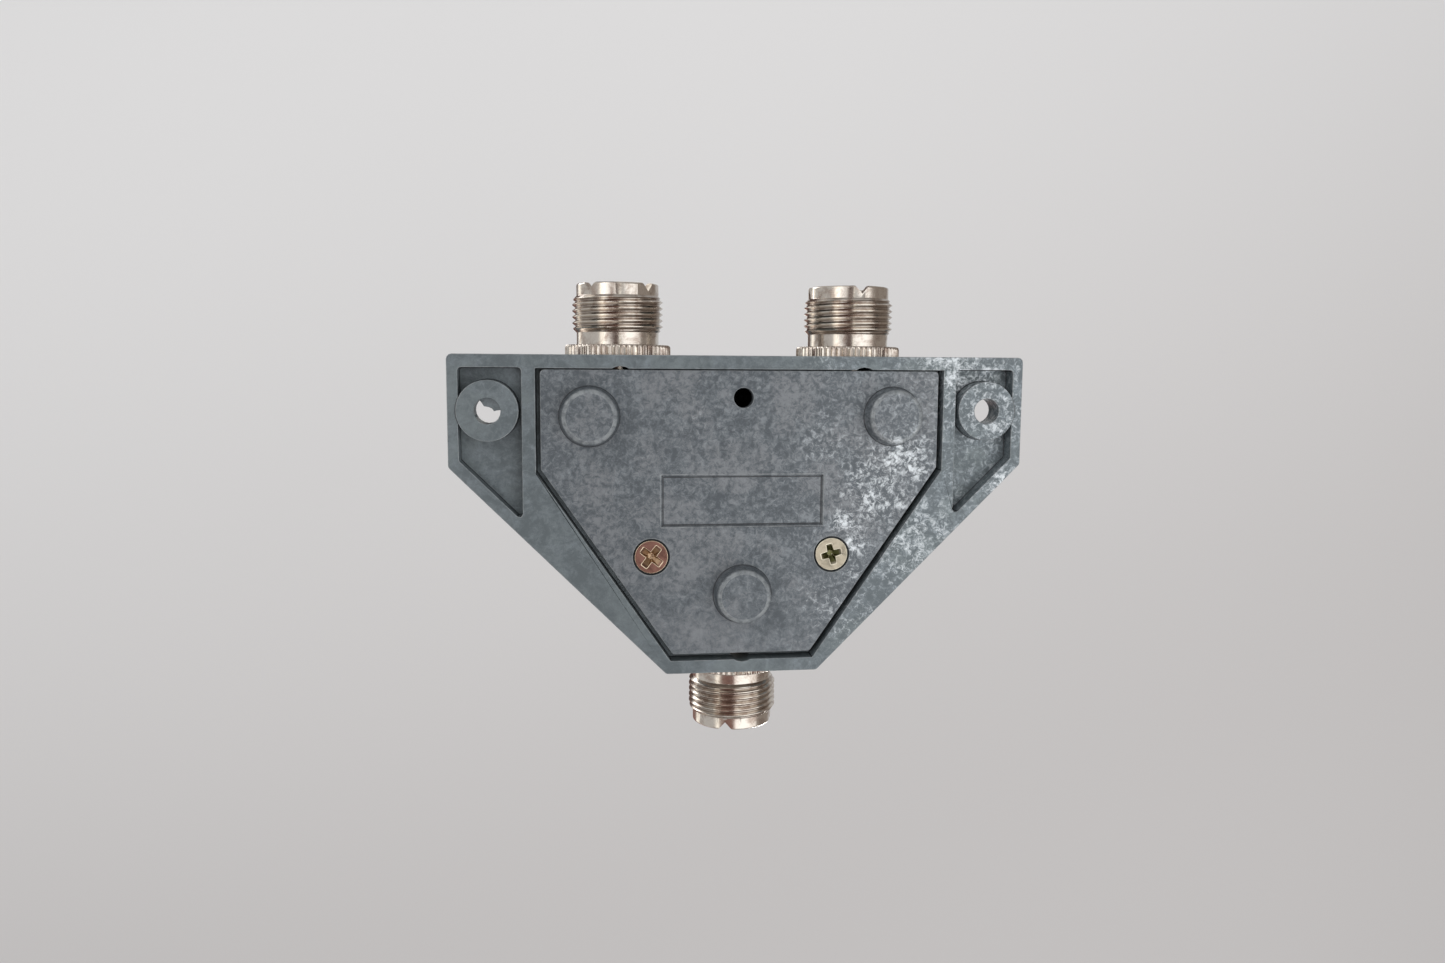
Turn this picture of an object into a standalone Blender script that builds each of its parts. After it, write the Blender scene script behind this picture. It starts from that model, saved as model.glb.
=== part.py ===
"""Two-way coaxial aerial switch with a die-cast body.

The switch stands on the three feet of its back cover, knob up. X runs along the two mounting
ears, Y from the common socket to the two output sockets, and Z out of the front face. The origin
is under the knob's axis, on the plane that the feet stand on. All sizes are in metres.
"""
import math

import bmesh
import bpy
from mathutils import Matrix, Vector

for leftover in list(bpy.data.objects):
    bpy.data.objects.remove(leftover)

MM = 0.001

# Clearances between pieces, and how far a cutter runs past the face that it opens
SEAT_GAP = 0.3 * MM             # between faces that bear on each other
BORE_GAP = 0.3 * MM             # around a part that is fixed in a hole
RUNNING_GAP = 0.1 * MM          # around the turning shaft
THROUGH = 1.0 * MM

# Body outline and walls
BODY_HALF_LENGTH = 27.3 * MM    # centre line to the edge under the sockets
BODY_DEPTH = 25.5 * MM          # rim to front face
END_WALL = 2.3 * MM             # rim width along the output side and the common side
SIDE_WALL = 2.05 * MM
FRONT_WALL = 2.3 * MM
CAVITY_HALF_WIDTH = 34.85 * MM
SLOPE_START_Y = 7.7 * MM        # where the box's sides turn into the slopes
TOE_HALF_WIDTH = 13.15 * MM     # half the short edge at the common socket
TOE_SIDE_WALL = 0.75 * MM       # the cavity's short edge is narrower by this at each end
BOX_STEP = 0.3 * MM             # the box stands back from the flange edge by this
BOX_DRAFT = 0.6 * MM            # the box's sides lean in by this over its depth
BOX_CORNER_ROUND = 2.0 * MM
FRONT_EDGE_ROUND = 1.2 * MM
EAR_REACH = 12.2 * MM           # box side to the outer side of an ear
EAR_CORNER_Y = 8.65 * MM        # where an ear's side turns into its slope
EAR_THICKNESS = 4.6 * MM
OUTLINE_ROUND = 0.9 * MM

# Back cover, with its plain hole and its shallow blank recess
LEDGE_WIDTH = 0.9 * MM          # shelf that the cover sits on
COVER_PLAY = 0.5 * MM           # mean gap all round the cover
COVER_SHIFT = 0.25 * MM         # the cover lies this far towards the outputs in that play
COVER_CORNER_ROUND = 1.0 * MM
COVER_THICKNESS = 2.2 * MM
COVER_RECESS = 0.5 * MM         # the cover lies this far inside the rim
COVER_HOLE_RADIUS = 1.7 * MM
COVER_HOLE_INSET = 4.8 * MM     # from the cavity's edge on the output side
LABEL_WIDTH = 28.2 * MM
LABEL_HEIGHT = 9.0 * MM
LABEL_Y = 2.65 * MM
LABEL_DEPTH = 0.35 * MM

# Feet of the cover, placed from the cavity's edges
FOOT_HEIGHT = 2.8 * MM
FOOT_TOP_RADIUS = 4.65 * MM
FOOT_SPREAD = 0.4 * MM          # a foot is wider at its base by this
FOOT_EDGE_ROUND = 0.35 * MM
FOOT_SIDE_INSET = 8.85 * MM
FOOT_END_INSET = 7.95 * MM
TOE_FOOT_INSET = 11.43 * MM

# Ear pockets and mounting bosses
POCKET_DEPTH = 3.0 * MM
POCKET_STEP = 0.22 * MM         # from the box's side to the pocket
POCKET_SIDE_WALL = 1.8 * MM
POCKET_TOP_WALL = 2.2 * MM
POCKET_SLOPE_WALL = 2.05 * MM
POCKET_CORNER_ROUND = 0.5 * MM
MOUNT_SIDE_INSET = 6.45 * MM    # from the ear's outer side
MOUNT_END_INSET = 9.3 * MM      # from the edge under the outputs
MOUNT_BOSS_RADIUS = 5.1 * MM
MOUNT_BOSS_PROUD = 0.3 * MM
MOUNT_HOLE_RADIUS = 2.2 * MM

# Casting flash left in one mounting hole; its torn edge is in hole radii from the hole's centre
FLASH_THICKNESS = 0.6 * MM
FLASH_SINK = 1.0 * MM           # from the boss face down to the flash
FLASH_ROOT = 0.4 * MM           # how far it is rooted in the hole's wall
FLASH_ARC = (54, 85, 110, 135, 160, 184)
FLASH_TEAR = ((-0.90, 0.04), (-0.64, 0.0), (-0.49, -0.05), (-0.34, 0.15), (-0.11, 0.26),
              (0.26, 0.33), (0.37, 0.52), (0.55, 0.77))

# Cover screws and the columns that they go into
SCREW_X = 15.68 * MM
SCREW_Y = -6.9 * MM
SCREW_HEAD_RADIUS = 2.85 * MM
SCREW_HEAD_EDGE = 0.35 * MM     # straight rim of the countersunk head
SCREW_SHANK_RADIUS = 1.5 * MM
SCREW_LENGTH = 9.0 * MM
SCREW_TIP = 0.5 * MM
SCREW_SINK = 0.1 * MM           # head face below the cover's face
SCREW_COLUMN_WALL = 2.1 * MM
SCREW_TURNS = (math.radians(-15), math.radians(38))
CROSS_REACH = 1.55 * MM
CROSS_WIDTH = 0.85 * MM
CROSS_DEPTH = 1.3 * MM

# Sockets, measured outward from the wall that they are seated on
SOCKET_SIDE_INSET = 14.03 * MM  # cavity's side to the axis of an output socket
SOCKET_AXIS_DROP = 0.19 * MM    # the axes lie this far to the cover's side of mid-depth
THREAD_RADIUS = 7.94 * MM       # major radius of the 5/8-24 coupling thread
THREAD_LENGTH = 6.4 * MM
THREAD_CHAMFER = 0.5 * MM
THREAD_RELIEF = 0.74 * MM       # neck and lip are smaller than the thread by this
NECK_LENGTH = 2.1 * MM
LIP_LENGTH = 2.1 * MM
LIP_ROUND = 0.4 * MM
LIP_WALL = 1.4 * MM
MOUTH_DEPTH = 7.4 * MM
MOUTH_SHOULDER = 1.2 * MM       # step from the mouth in to the bore behind it
TAIL_WALL = 1.6 * MM
TAIL_PROUD = 0.6 * MM           # the tail runs past its nut by this
RING_PROUD = 1.36 * MM          # knurled ring beyond the thread
RING_THICKNESS = 1.8 * MM
RING_TEETH = 60
RING_TOOTH_DEPTH = 0.35 * MM
NOTCH_COUNT = 4
NOTCH_WIDTH = 1.9 * MM
NOTCH_DEPTH = 1.1 * MM
NOTCH_TURNS = {"1": math.radians(112.5), "2": math.radians(135), "common": math.radians(-82)}
NUT_WALL = 1.6 * MM
NUT_THICKNESS = 2.4 * MM
RELIEF_RADIUS = 2.7 * MM        # half-round relief down the wall at each socket
RELIEF_DEPTH = 0.42 * MM

# Socket insulator and centre contact
INSULATOR_FACE = 1.4 * MM       # thickness of its front flange
INSULATOR_PROUD = 0.8 * MM      # beyond the socket's tail
CONTACT_BORE_RADIUS = 2.0 * MM
CONTACT_BORE_DEPTH = 9.0 * MM
CONTACT_BORE_CONE = 0.8 * MM
CONTACT_WALL = 0.6 * MM
CONTACT_FRONT_PROUD = 1.0 * MM  # beyond the insulator's face
CONTACT_TAIL_PROUD = 2.5 * MM   # beyond the insulator's tail
CONTACT_SLIT = 0.4 * MM
CONTACT_SLIT_DEPTH = 4.0 * MM
CUP_DEPTH = 2.6 * MM            # solder cup in the contact's tail
CUP_PLAY = 0.4 * MM             # around the pin in the cup

# Shaft and its bushing
SHAFT_RADIUS = 3.0 * MM
SHAFT_CHAMFER = 0.4 * MM
SHAFT_FLAT = 0.5 * MM
SHAFT_TAIL = 1.3 * MM           # below the retaining clip
SHAFT_SHORT = 0.4 * MM          # its end lies this far inside the knob's insert
BUSHING_WALL = 1.4 * MM
BUSHING_CHAMFER = 0.3 * MM
BUSHING_FLANGE_REACH = 2.0 * MM
BUSHING_FLANGE = 1.2 * MM
BUSHING_PROUD = 1.2 * MM        # beyond its nut
WASHER_REACH = 2.8 * MM         # beyond the bushing's thread
WASHER_THICKNESS = 0.6 * MM
BUSHING_NUT_WALL = 1.5 * MM
BUSHING_NUT_THICKNESS = 2.2 * MM

# Knob, its insert and its grub screw
KNOB_LIFT = 0.6 * MM            # from the front face to the knob
KNOB_RECESS_PLAY = 1.3 * MM     # around the washer
KNOB_RECESS_LIFT = 1.0 * MM     # above the bushing
KNOB_WALL = 3.0 * MM            # from the recess to the grip
KNOB_SKIRT_REACH = 2.4 * MM     # from the grip to the skirt
KNOB_SKIRT_HEIGHT = 2.6 * MM
KNOB_SLOPE_HEIGHT = 1.6 * MM
KNOB_GRIP_TAPER = 0.6 * MM
KNOB_GRIP_STEP = 0.2 * MM
KNOB_TOP_WALL = 1.5 * MM
KNOB_EDGE_ROUND = 0.8 * MM
KNOB_FLUTES = 18
KNOB_FLUTE_DEPTH = 0.75 * MM
KNOB_LINE_WIDTH = 1.0 * MM
KNOB_LINE_DEPTH = 0.35 * MM
KNOB_LINE_START = 4.0 * MM      # from the knob's axis
INSERT_WALL = 1.3 * MM
INSERT_LENGTH = 8.0 * MM
GRUB_RADIUS = 1.5 * MM
GRUB_CHAMFER = 0.4 * MM
GRUB_LENGTH = 6.0 * MM
GRUB_KEY_RADIUS = 0.85 * MM
GRUB_KEY_DEPTH = 1.5 * MM

# Switch works inside
THROW = math.radians(60)        # knob travel between the two positions
ROTOR_CLEARANCE = 1.03 * MM     # between the rotor and the screw columns
ROTOR_THICKNESS = 2.4 * MM
HUB_WALL = 1.2 * MM
BLADE_THICKNESS = 0.6 * MM
BLADE_EDGE = 0.4 * MM           # the arms end this far inside the rotor's edge
BLADE_RING_GAP = 1.9 * MM       # between the jaws' tips and a blade's ring
BLADE_HALF_ANGLE = math.radians(11)
JAW_REACH = 3.0 * MM            # how far a jaw laps over the rotor
JAW_FINGER = 0.6 * MM
JAW_WIDTH = 4.0 * MM
JAW_BLOCK = 2.2 * MM
LINK_THICKNESS = 2.0 * MM
LINK_WIDTH = 2.4 * MM
LINK_SETBACK = 2.4 * MM         # from the end of the socket's contact to the link
PIN_RADIUS = 0.9 * MM
CLIP_THICKNESS = 0.7 * MM
CLIP_REACH = 2.4 * MM           # beyond the shaft
CLIP_GROOVE_DEPTH = 0.6 * MM
CLIP_MOUTH = 2.0 * MM           # half the clip's opening
WHEEL_DROP = 0.5 * MM           # below the bushing's flange
WHEEL_RADIUS = 8.0 * MM
WHEEL_THICKNESS = 2.5 * MM
WHEEL_NOTCH_DEPTH = 1.3 * MM
WHEEL_NOTCH_HALF_WIDTH = 1.9 * MM
LUG_LENGTH = 2.6 * MM           # beyond the wheel's edge
LUG_HALF_WIDTH = 2.0 * MM
STOP_RADIUS = 1.5 * MM
SPRING_THICKNESS = 0.4 * MM
SPRING_WIDTH = 2.1 * MM
SPRING_END = 2.0 * MM           # beyond the posts
SPRING_STANDOFF = 1.6 * MM      # from the wheel's edge to the strip's middle plane
SPRING_POST_RADIUS = 1.0 * MM

# Facets round a large and a small round form
FINE = 32
COARSE = 20

# Levels along Z, from the feet up
RIM_Z = FOOT_HEIGHT - COVER_RECESS
FRONT_Z = RIM_Z + BODY_DEPTH
FRONT_INNER_Z = FRONT_Z - FRONT_WALL
EAR_FRONT_Z = RIM_Z + EAR_THICKNESS
COVER_INNER_Z = FOOT_HEIGHT + COVER_THICKNESS
LEDGE_Z = COVER_INNER_Z + SEAT_GAP
AXIS_Z = (COVER_INNER_Z + FRONT_INNER_Z) / 2 - SOCKET_AXIS_DROP
BLADE_LOW_Z = AXIS_Z + ROTOR_THICKNESS / 2 + SEAT_GAP
GROUND_LOW_Z = AXIS_Z - ROTOR_THICKNESS / 2 - SEAT_GAP - BLADE_THICKNESS
CLIP_HIGH_Z = GROUND_LOW_Z - SEAT_GAP
CLIP_LOW_Z = CLIP_HIGH_Z - CLIP_THICKNESS
WHEEL_TOP_Z = FRONT_INNER_Z - SEAT_GAP - BUSHING_FLANGE - WHEEL_DROP
WHEEL_BOTTOM_Z = WHEEL_TOP_Z - WHEEL_THICKNESS
WASHER_Z = FRONT_Z + SEAT_GAP
BUSHING_NUT_Z = WASHER_Z + WASHER_THICKNESS + SEAT_GAP
BUSHING_TOP_Z = BUSHING_NUT_Z + BUSHING_NUT_THICKNESS + BUSHING_PROUD
KNOB_Z = FRONT_Z + KNOB_LIFT
INSERT_Z = BUSHING_TOP_Z + KNOB_RECESS_LIFT
SHAFT_TOP_Z = INSERT_Z + INSERT_LENGTH - SHAFT_SHORT
GRUB_Z = INSERT_Z + INSERT_LENGTH / 2
KNOB_TOP_Z = INSERT_Z + INSERT_LENGTH + SEAT_GAP + KNOB_TOP_WALL

# Places and radii that follow from the sizes above
WALL_Y = BODY_HALF_LENGTH - BOX_STEP
CAVITY_END_Y = BODY_HALF_LENGTH - END_WALL
BOX_HALF_WIDTH = CAVITY_HALF_WIDTH + SIDE_WALL
SOCKET_X = CAVITY_HALF_WIDTH - SOCKET_SIDE_INSET
EAR_HALF_WIDTH = BOX_HALF_WIDTH + EAR_REACH
MOUNT_X = EAR_HALF_WIDTH - MOUNT_SIDE_INSET
MOUNT_Y = BODY_HALF_LENGTH - MOUNT_END_INSET
SCREW_COLUMN_RADIUS = SCREW_SHANK_RADIUS + RUNNING_GAP + SCREW_COLUMN_WALL
BUSHING_RADIUS = SHAFT_RADIUS + RUNNING_GAP + BUSHING_WALL
WASHER_RADIUS = BUSHING_RADIUS + WASHER_REACH
INSERT_RADIUS = SHAFT_RADIUS + BORE_GAP + INSERT_WALL
KNOB_RECESS_RADIUS = WASHER_RADIUS + KNOB_RECESS_PLAY
KNOB_GRIP_RADIUS = KNOB_RECESS_RADIUS + KNOB_WALL
KNOB_SKIRT_RADIUS = KNOB_GRIP_RADIUS + KNOB_SKIRT_REACH
HUB_RADIUS = SHAFT_RADIUS + BORE_GAP + HUB_WALL
SPRING_Y = -(WHEEL_RADIUS + SPRING_STANDOFF)
SPRING_HALF_LENGTH = SCREW_X - SCREW_COLUMN_RADIUS - SEAT_GAP
SPRING_POST_X = SPRING_HALF_LENGTH - SPRING_END
POSITION_1 = math.radians(90) + THROW / 2
POSITION_2 = math.radians(90) - THROW / 2
COMMON_SIDE = math.radians(270)

# Socket radii, and its levels outward from the wall
NECK_RADIUS = THREAD_RADIUS - THREAD_RELIEF
LIP_RADIUS = NECK_RADIUS
MOUTH_RADIUS = LIP_RADIUS - LIP_WALL
TAIL_BORE_RADIUS = MOUTH_RADIUS - MOUTH_SHOULDER
TAIL_RADIUS = TAIL_BORE_RADIUS + TAIL_WALL
RING_RADIUS = THREAD_RADIUS + RING_PROUD
CONTACT_RADIUS = CONTACT_BORE_RADIUS + CONTACT_WALL
RING_FRONT = SEAT_GAP + RING_THICKNESS
THREAD_START = RING_FRONT + NECK_LENGTH
THREAD_END = THREAD_START + THREAD_LENGTH
LIP_END = THREAD_END + LIP_LENGTH
MOUTH_FLOOR = LIP_END - MOUTH_DEPTH
INSULATOR_FRONT = MOUTH_FLOOR + SEAT_GAP + INSULATOR_FACE
CONTACT_FRONT = INSULATOR_FRONT + CONTACT_FRONT_PROUD
NUT_BACK = -(WALL_Y - CAVITY_END_Y + LEDGE_WIDTH + SEAT_GAP)
NUT_END = NUT_BACK - NUT_THICKNESS
TAIL_END = NUT_END - TAIL_PROUD
INSULATOR_END = TAIL_END - INSULATOR_PROUD
CONTACT_END = INSULATOR_END - CONTACT_TAIL_PROUD

# The rotor fills the room between the screw columns, or before the common socket's contact and jaw
ROOM_BY_COLUMNS = math.hypot(SCREW_X, SCREW_Y) - SCREW_COLUMN_RADIUS - ROTOR_CLEARANCE
ROOM_BY_CONTACT = WALL_Y + CONTACT_END - JAW_BLOCK - 2 * SEAT_GAP
ROTOR_RADIUS = min(ROOM_BY_COLUMNS, ROOM_BY_CONTACT)
JAW_TIP_RADIUS = ROTOR_RADIUS - JAW_REACH


# Small modelling helpers
def material(name, colour, roughness, metallic):
    finish = bpy.data.materials.new(name)
    finish.use_nodes = True
    shader = finish.node_tree.nodes["Principled BSDF"]
    shader.inputs["Base Color"].default_value = (*colour, 1.0)
    shader.inputs["Roughness"].default_value = roughness
    shader.inputs["Metallic"].default_value = metallic
    return finish


def place(name, bm, finish=None, location=(0, 0, 0), rotation=(0, 0, 0), parent=None):
    """Make an object of a mesh, shaded smooth across its shallow edges."""
    bmesh.ops.recalc_face_normals(bm, faces=bm.faces)
    mesh = bpy.data.meshes.new(name)
    bm.to_mesh(mesh)
    bm.free()
    mesh.shade_smooth()
    mesh.set_sharp_from_angle(angle=math.radians(30))
    thing = bpy.data.objects.new(name, mesh)
    bpy.context.scene.collection.objects.link(thing)
    if finish:
        mesh.materials.append(finish)
    thing.location = location
    thing.rotation_euler = rotation
    thing.parent = parent
    return thing


def shape(target, operation, *meshes):
    """Join to, or cut from, an object every closed mesh that is given."""
    for bm in meshes:
        tool = place(target.name + "_" + operation.lower(), bm, location=target.location,
                     rotation=target.rotation_euler, parent=target.parent)
        tool.hide_render = True
        tool.display_type = 'WIRE'
        step = target.modifiers.new(operation.title(), 'BOOLEAN')
        step.operation = operation
        step.object = tool
        step.solver = 'EXACT'


def prism(points, low, high, top_points=None):
    """A straight or tapered block on an outline given counter-clockwise."""
    bm = bmesh.new()
    foot = [bm.verts.new((x, y, low)) for x, y in points]
    head = [bm.verts.new((x, y, high)) for x, y in (top_points or points)]
    bm.faces.new(reversed(foot))
    bm.faces.new(head)
    for index in range(len(foot)):
        after = (index + 1) % len(foot)
        bm.faces.new((foot[index], foot[after], head[after], head[index]))
    return bm


def turned(profile, segments=FINE, closed=False):
    """Spin a profile of (radius, height) points about Z."""
    bm = bmesh.new()
    points = [bm.verts.new((radius, 0, height)) for radius, height in profile]
    edges = [bm.edges.new(pair) for pair in zip(points, points[1:])]
    if closed:
        edges.append(bm.edges.new((points[-1], points[0])))
    bmesh.ops.spin(bm, geom=points + edges, cent=(0, 0, 0), axis=(0, 0, 1), dvec=(0, 0, 0),
                   angle=math.tau, steps=segments, use_merge=True, use_duplicate=False)
    bmesh.ops.remove_doubles(bm, verts=bm.verts, dist=1e-7)
    return bm


def moved(bm, vector, turn=None):
    """Turn a mesh about the origin, then shift it."""
    if turn is not None:
        bmesh.ops.transform(bm, matrix=turn, verts=bm.verts)
    bmesh.ops.translate(bm, vec=vector, verts=bm.verts)
    return bm


def turn_about(axis, angle):
    return Matrix.Rotation(angle, 4, axis)


def rectangle(low_x, low_y, high_x, high_y):
    return [(low_x, low_y), (high_x, low_y), (high_x, high_y), (low_x, high_y)]


def bar(low, high):
    """An upright block between two corners."""
    return prism(rectangle(low[0], low[1], high[0], high[1]), low[2], high[2])


def polar(radius, angle):
    return (radius * math.cos(angle), radius * math.sin(angle))


def at_angle(radius, angle):
    return Vector((*polar(radius, angle), 0.0))


def polygon(radius, sides):
    return [polar(radius, math.tau * side / sides) for side in range(sides)]


def hexagon(flats):
    return polygon(flats / math.sqrt(3), 6)


def rod(radius, low, high, segments=COARSE):
    return prism(polygon(radius, segments), low, high)


def rounded(points, radius, steps=3):
    """Round every corner of a counter-clockwise outline."""
    result = []
    count = len(points)
    for index, corner in enumerate(points):
        here = Vector(corner)
        back = (Vector(points[index - 1]) - here).normalized()
        ahead = (Vector(points[(index + 1) % count]) - here).normalized()
        half = back.angle(ahead) / 2
        centre = here + (back + ahead).normalized() * (radius / math.sin(half))
        start = here + back * (radius / math.tan(half)) - centre
        end = here + ahead * (radius / math.tan(half)) - centre
        sweep = start.angle_signed(end)
        for step in range(steps + 1):
            result.append(tuple(centre + Matrix.Rotation(-sweep * step / steps, 2) @ start))
    return result


def shield(half_width, end_y, corner_y, toe_half_width):
    """The switch's own outline: a wide top, two upright sides and two slopes down to a short toe."""
    return [(toe_half_width, -end_y), (half_width, corner_y), (half_width, end_y),
            (-half_width, end_y), (-half_width, corner_y), (-toe_half_width, -end_y)]


def inset(outline, by):
    """The same outline with every side moved in by one distance."""
    result = []
    count = len(outline)
    for index, corner in enumerate(outline):
        here = Vector(corner)
        along = (here - Vector(outline[index - 1])).normalized()
        ahead = (Vector(outline[(index + 1) % count]) - here).normalized()
        bend = along.angle_signed(ahead)
        inward = (Vector((-along.y, along.x)) + Vector((-ahead.y, ahead.x))).normalized()
        result.append(tuple(here + inward * (by / math.cos(bend / 2))))
    return result


def mirrored(outline):
    return [(-x, y) for x, y in reversed(outline)]


CAVITY = shield(CAVITY_HALF_WIDTH, CAVITY_END_Y, SLOPE_START_Y, TOE_HALF_WIDTH - TOE_SIDE_WALL)

# Finishes
CAST_ZINC = material("cast_zinc", (0.17, 0.19, 0.20), 0.55, 0.6)
NICKEL = material("nickel_plate", (0.62, 0.58, 0.53), 0.22, 1.0)
INSULATION = material("insulation", (0.82, 0.80, 0.74), 0.45, 0.0)
SILVERED = material("silvered_brass", (0.72, 0.70, 0.65), 0.25, 1.0)
BRASS = material("brass", (0.66, 0.46, 0.19), 0.3, 1.0)
STEEL = material("steel", (0.45, 0.45, 0.46), 0.35, 1.0)
YELLOW_ZINC = material("yellow_zinc", (0.60, 0.47, 0.27), 0.3, 1.0)
BLACK_PLASTIC = material("black_plastic", (0.015, 0.015, 0.016), 0.4, 0.0)


# Die-cast housing: a deep box with an ear on each side, open at the back
def housing():
    flange = shield(EAR_HALF_WIDTH, BODY_HALF_LENGTH, EAR_CORNER_Y, TOE_HALF_WIDTH)
    body = place("housing", prism(rounded(flange, OUTLINE_ROUND), RIM_Z, EAR_FRONT_Z), CAST_ZINC)
    shape(body, 'UNION', housing_box())
    for outline in (ear_pocket(), mirrored(ear_pocket())):
        shape(body, 'DIFFERENCE', prism(rounded(outline, POCKET_CORNER_ROUND, 2), RIM_Z - THROUGH,
                                        RIM_Z + POCKET_DEPTH))
    shape(body, 'DIFFERENCE',
          prism(CAVITY, RIM_Z - THROUGH, LEDGE_Z),
          prism(inset(CAVITY, LEDGE_WIDTH), LEDGE_Z - THROUGH, FRONT_INNER_Z))
    for side in (-1, 1):
        shape(body, 'UNION', mount_boss(side), screw_column(side), stop_post(side), *spring_posts(side))
        shape(body, 'DIFFERENCE',
              moved(rod(MOUNT_HOLE_RADIUS, RIM_Z - THROUGH, EAR_FRONT_Z + THROUGH),
                    (side * MOUNT_X, MOUNT_Y, 0)),
              moved(rod(SCREW_SHANK_RADIUS + RUNNING_GAP, LEDGE_Z - THROUGH,
                        FOOT_HEIGHT + SCREW_SINK + SCREW_LENGTH + THROUGH),
                    (side * SCREW_X, SCREW_Y, 0)))
    for x, side in ((SOCKET_X, 1), (-SOCKET_X, 1), (0, -1)):
        hole = rod(TAIL_RADIUS + BORE_GAP, -2 * END_WALL, 2 * END_WALL, 32)
        relief = rod(RELIEF_RADIUS, RIM_Z - THROUGH, AXIS_Z)
        shape(body, 'DIFFERENCE',
              moved(hole, (x, side * WALL_Y, AXIS_Z), turn_about('X', math.radians(-90))),
              moved(relief, (x, side * (CAVITY_END_Y - RELIEF_RADIUS + RELIEF_DEPTH), 0)))
    shape(body, 'DIFFERENCE', rod(BUSHING_RADIUS + BORE_GAP, FRONT_INNER_Z - THROUGH, FRONT_Z + THROUGH, 32))
    shape(body, 'UNION', hole_flash())
    return body


def housing_box():
    foot = shield(BOX_HALF_WIDTH, WALL_Y, SLOPE_START_Y, TOE_HALF_WIDTH)
    head = shield(BOX_HALF_WIDTH - BOX_DRAFT, WALL_Y, SLOPE_START_Y, TOE_HALF_WIDTH - BOX_DRAFT)
    box = prism(rounded(foot, BOX_CORNER_ROUND), RIM_Z + POCKET_DEPTH / 2, FRONT_Z,
                rounded(head, BOX_CORNER_ROUND))
    front_edges = [edge for edge in box.edges if all(vert.co.z > FRONT_Z - 1e-6 for vert in edge.verts)]
    bmesh.ops.bevel(box, geom=front_edges, offset=FRONT_EDGE_ROUND, segments=3, profile=0.5,
                    affect='EDGES', material=-1)
    return box


def ear_pocket():
    """Four-sided pocket beside the box; its short side runs parallel to the ear's slope."""
    inner_x = BOX_HALF_WIDTH + POCKET_STEP
    outer_x = EAR_HALF_WIDTH - POCKET_SIDE_WALL
    top = BODY_HALF_LENGTH - POCKET_TOP_WALL
    slope = (EAR_CORNER_Y + BODY_HALF_LENGTH) / (EAR_HALF_WIDTH - TOE_HALF_WIDTH)
    lift = POCKET_SLOPE_WALL * math.hypot(1, slope)
    inner_y, outer_y = (EAR_CORNER_Y - (EAR_HALF_WIDTH - x) * slope + lift for x in (inner_x, outer_x))
    return [(inner_x, inner_y), (outer_x, outer_y), (outer_x, top), (inner_x, top)]


def mount_boss(side):
    boss = rod(MOUNT_BOSS_RADIUS, RIM_Z - MOUNT_BOSS_PROUD, (RIM_Z + POCKET_DEPTH + EAR_FRONT_Z) / 2, FINE)
    return moved(boss, (side * MOUNT_X, MOUNT_Y, 0))


def screw_column(side):
    column = rod(SCREW_COLUMN_RADIUS, LEDGE_Z, FRONT_INNER_Z + FRONT_WALL / 2)
    return moved(column, (side * SCREW_X, SCREW_Y, 0))


def stop_post(side):
    """A post that the lug's flank meets, just clear of the wheel: side -1 stops position 1."""
    limit = POSITION_1 if side < 0 else POSITION_2
    radius = WHEEL_RADIUS + SEAT_GAP + STOP_RADIUS
    offset = math.asin((LUG_HALF_WIDTH + SEAT_GAP + STOP_RADIUS) / radius)
    post = rod(STOP_RADIUS, WHEEL_BOTTOM_Z, FRONT_INNER_Z + FRONT_WALL / 2, 12)
    return moved(post, at_angle(radius, limit - side * offset))


def spring_posts(side):
    """Two posts that hold one end of the spring strip between them."""
    reach = SPRING_THICKNESS / 2 + SEAT_GAP + SPRING_POST_RADIUS
    for y in (SPRING_Y - reach, SPRING_Y + reach):
        post = rod(SPRING_POST_RADIUS, WHEEL_BOTTOM_Z, FRONT_INNER_Z + FRONT_WALL / 2, 12)
        yield moved(post, (side * SPRING_POST_X, y, 0))


def hole_flash():
    """Thin torn skin of metal across part of the mounting hole on the output 2 side."""
    root = [polar(MOUNT_HOLE_RADIUS + FLASH_ROOT, math.radians(angle)) for angle in FLASH_ARC]
    tear = [(x * MOUNT_HOLE_RADIUS, y * MOUNT_HOLE_RADIUS) for x, y in FLASH_TEAR]
    low = RIM_Z - MOUNT_BOSS_PROUD + FLASH_SINK
    flash = prism(root + tear, low, low + FLASH_THICKNESS)
    return moved(flash, (MOUNT_X, MOUNT_Y, 0))


# Back cover with its three feet, blank label recess and countersunk screw holes
def back_cover():
    outline = [(x, y + COVER_SHIFT) for x, y in rounded(inset(CAVITY, COVER_PLAY), COVER_CORNER_ROUND)]
    cover = place("back_cover", prism(outline, FOOT_HEIGHT, COVER_INNER_Z), CAST_ZINC)
    foot_x = CAVITY_HALF_WIDTH - FOOT_SIDE_INSET
    foot_y = CAVITY_END_Y - FOOT_END_INSET
    toe_foot_y = -CAVITY_END_Y + TOE_FOOT_INSET
    for x, y in ((-foot_x, foot_y), (foot_x, foot_y), (0, toe_foot_y)):
        shape(cover, 'UNION', moved(cover_foot(), (x, y, 0)))
    half_width = LABEL_WIDTH / 2
    half_height = LABEL_HEIGHT / 2
    shape(cover, 'DIFFERENCE',
          bar((-half_width, LABEL_Y - half_height, FOOT_HEIGHT - THROUGH),
              (half_width, LABEL_Y + half_height, FOOT_HEIGHT + LABEL_DEPTH)),
          moved(rod(COVER_HOLE_RADIUS, FOOT_HEIGHT - THROUGH, COVER_INNER_Z + THROUGH),
                (0, CAVITY_END_Y - COVER_HOLE_INSET, 0)))
    for side in (-1, 1):
        shape(cover, 'DIFFERENCE', moved(countersink(), (side * SCREW_X, SCREW_Y, 0)))
    return cover


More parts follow.
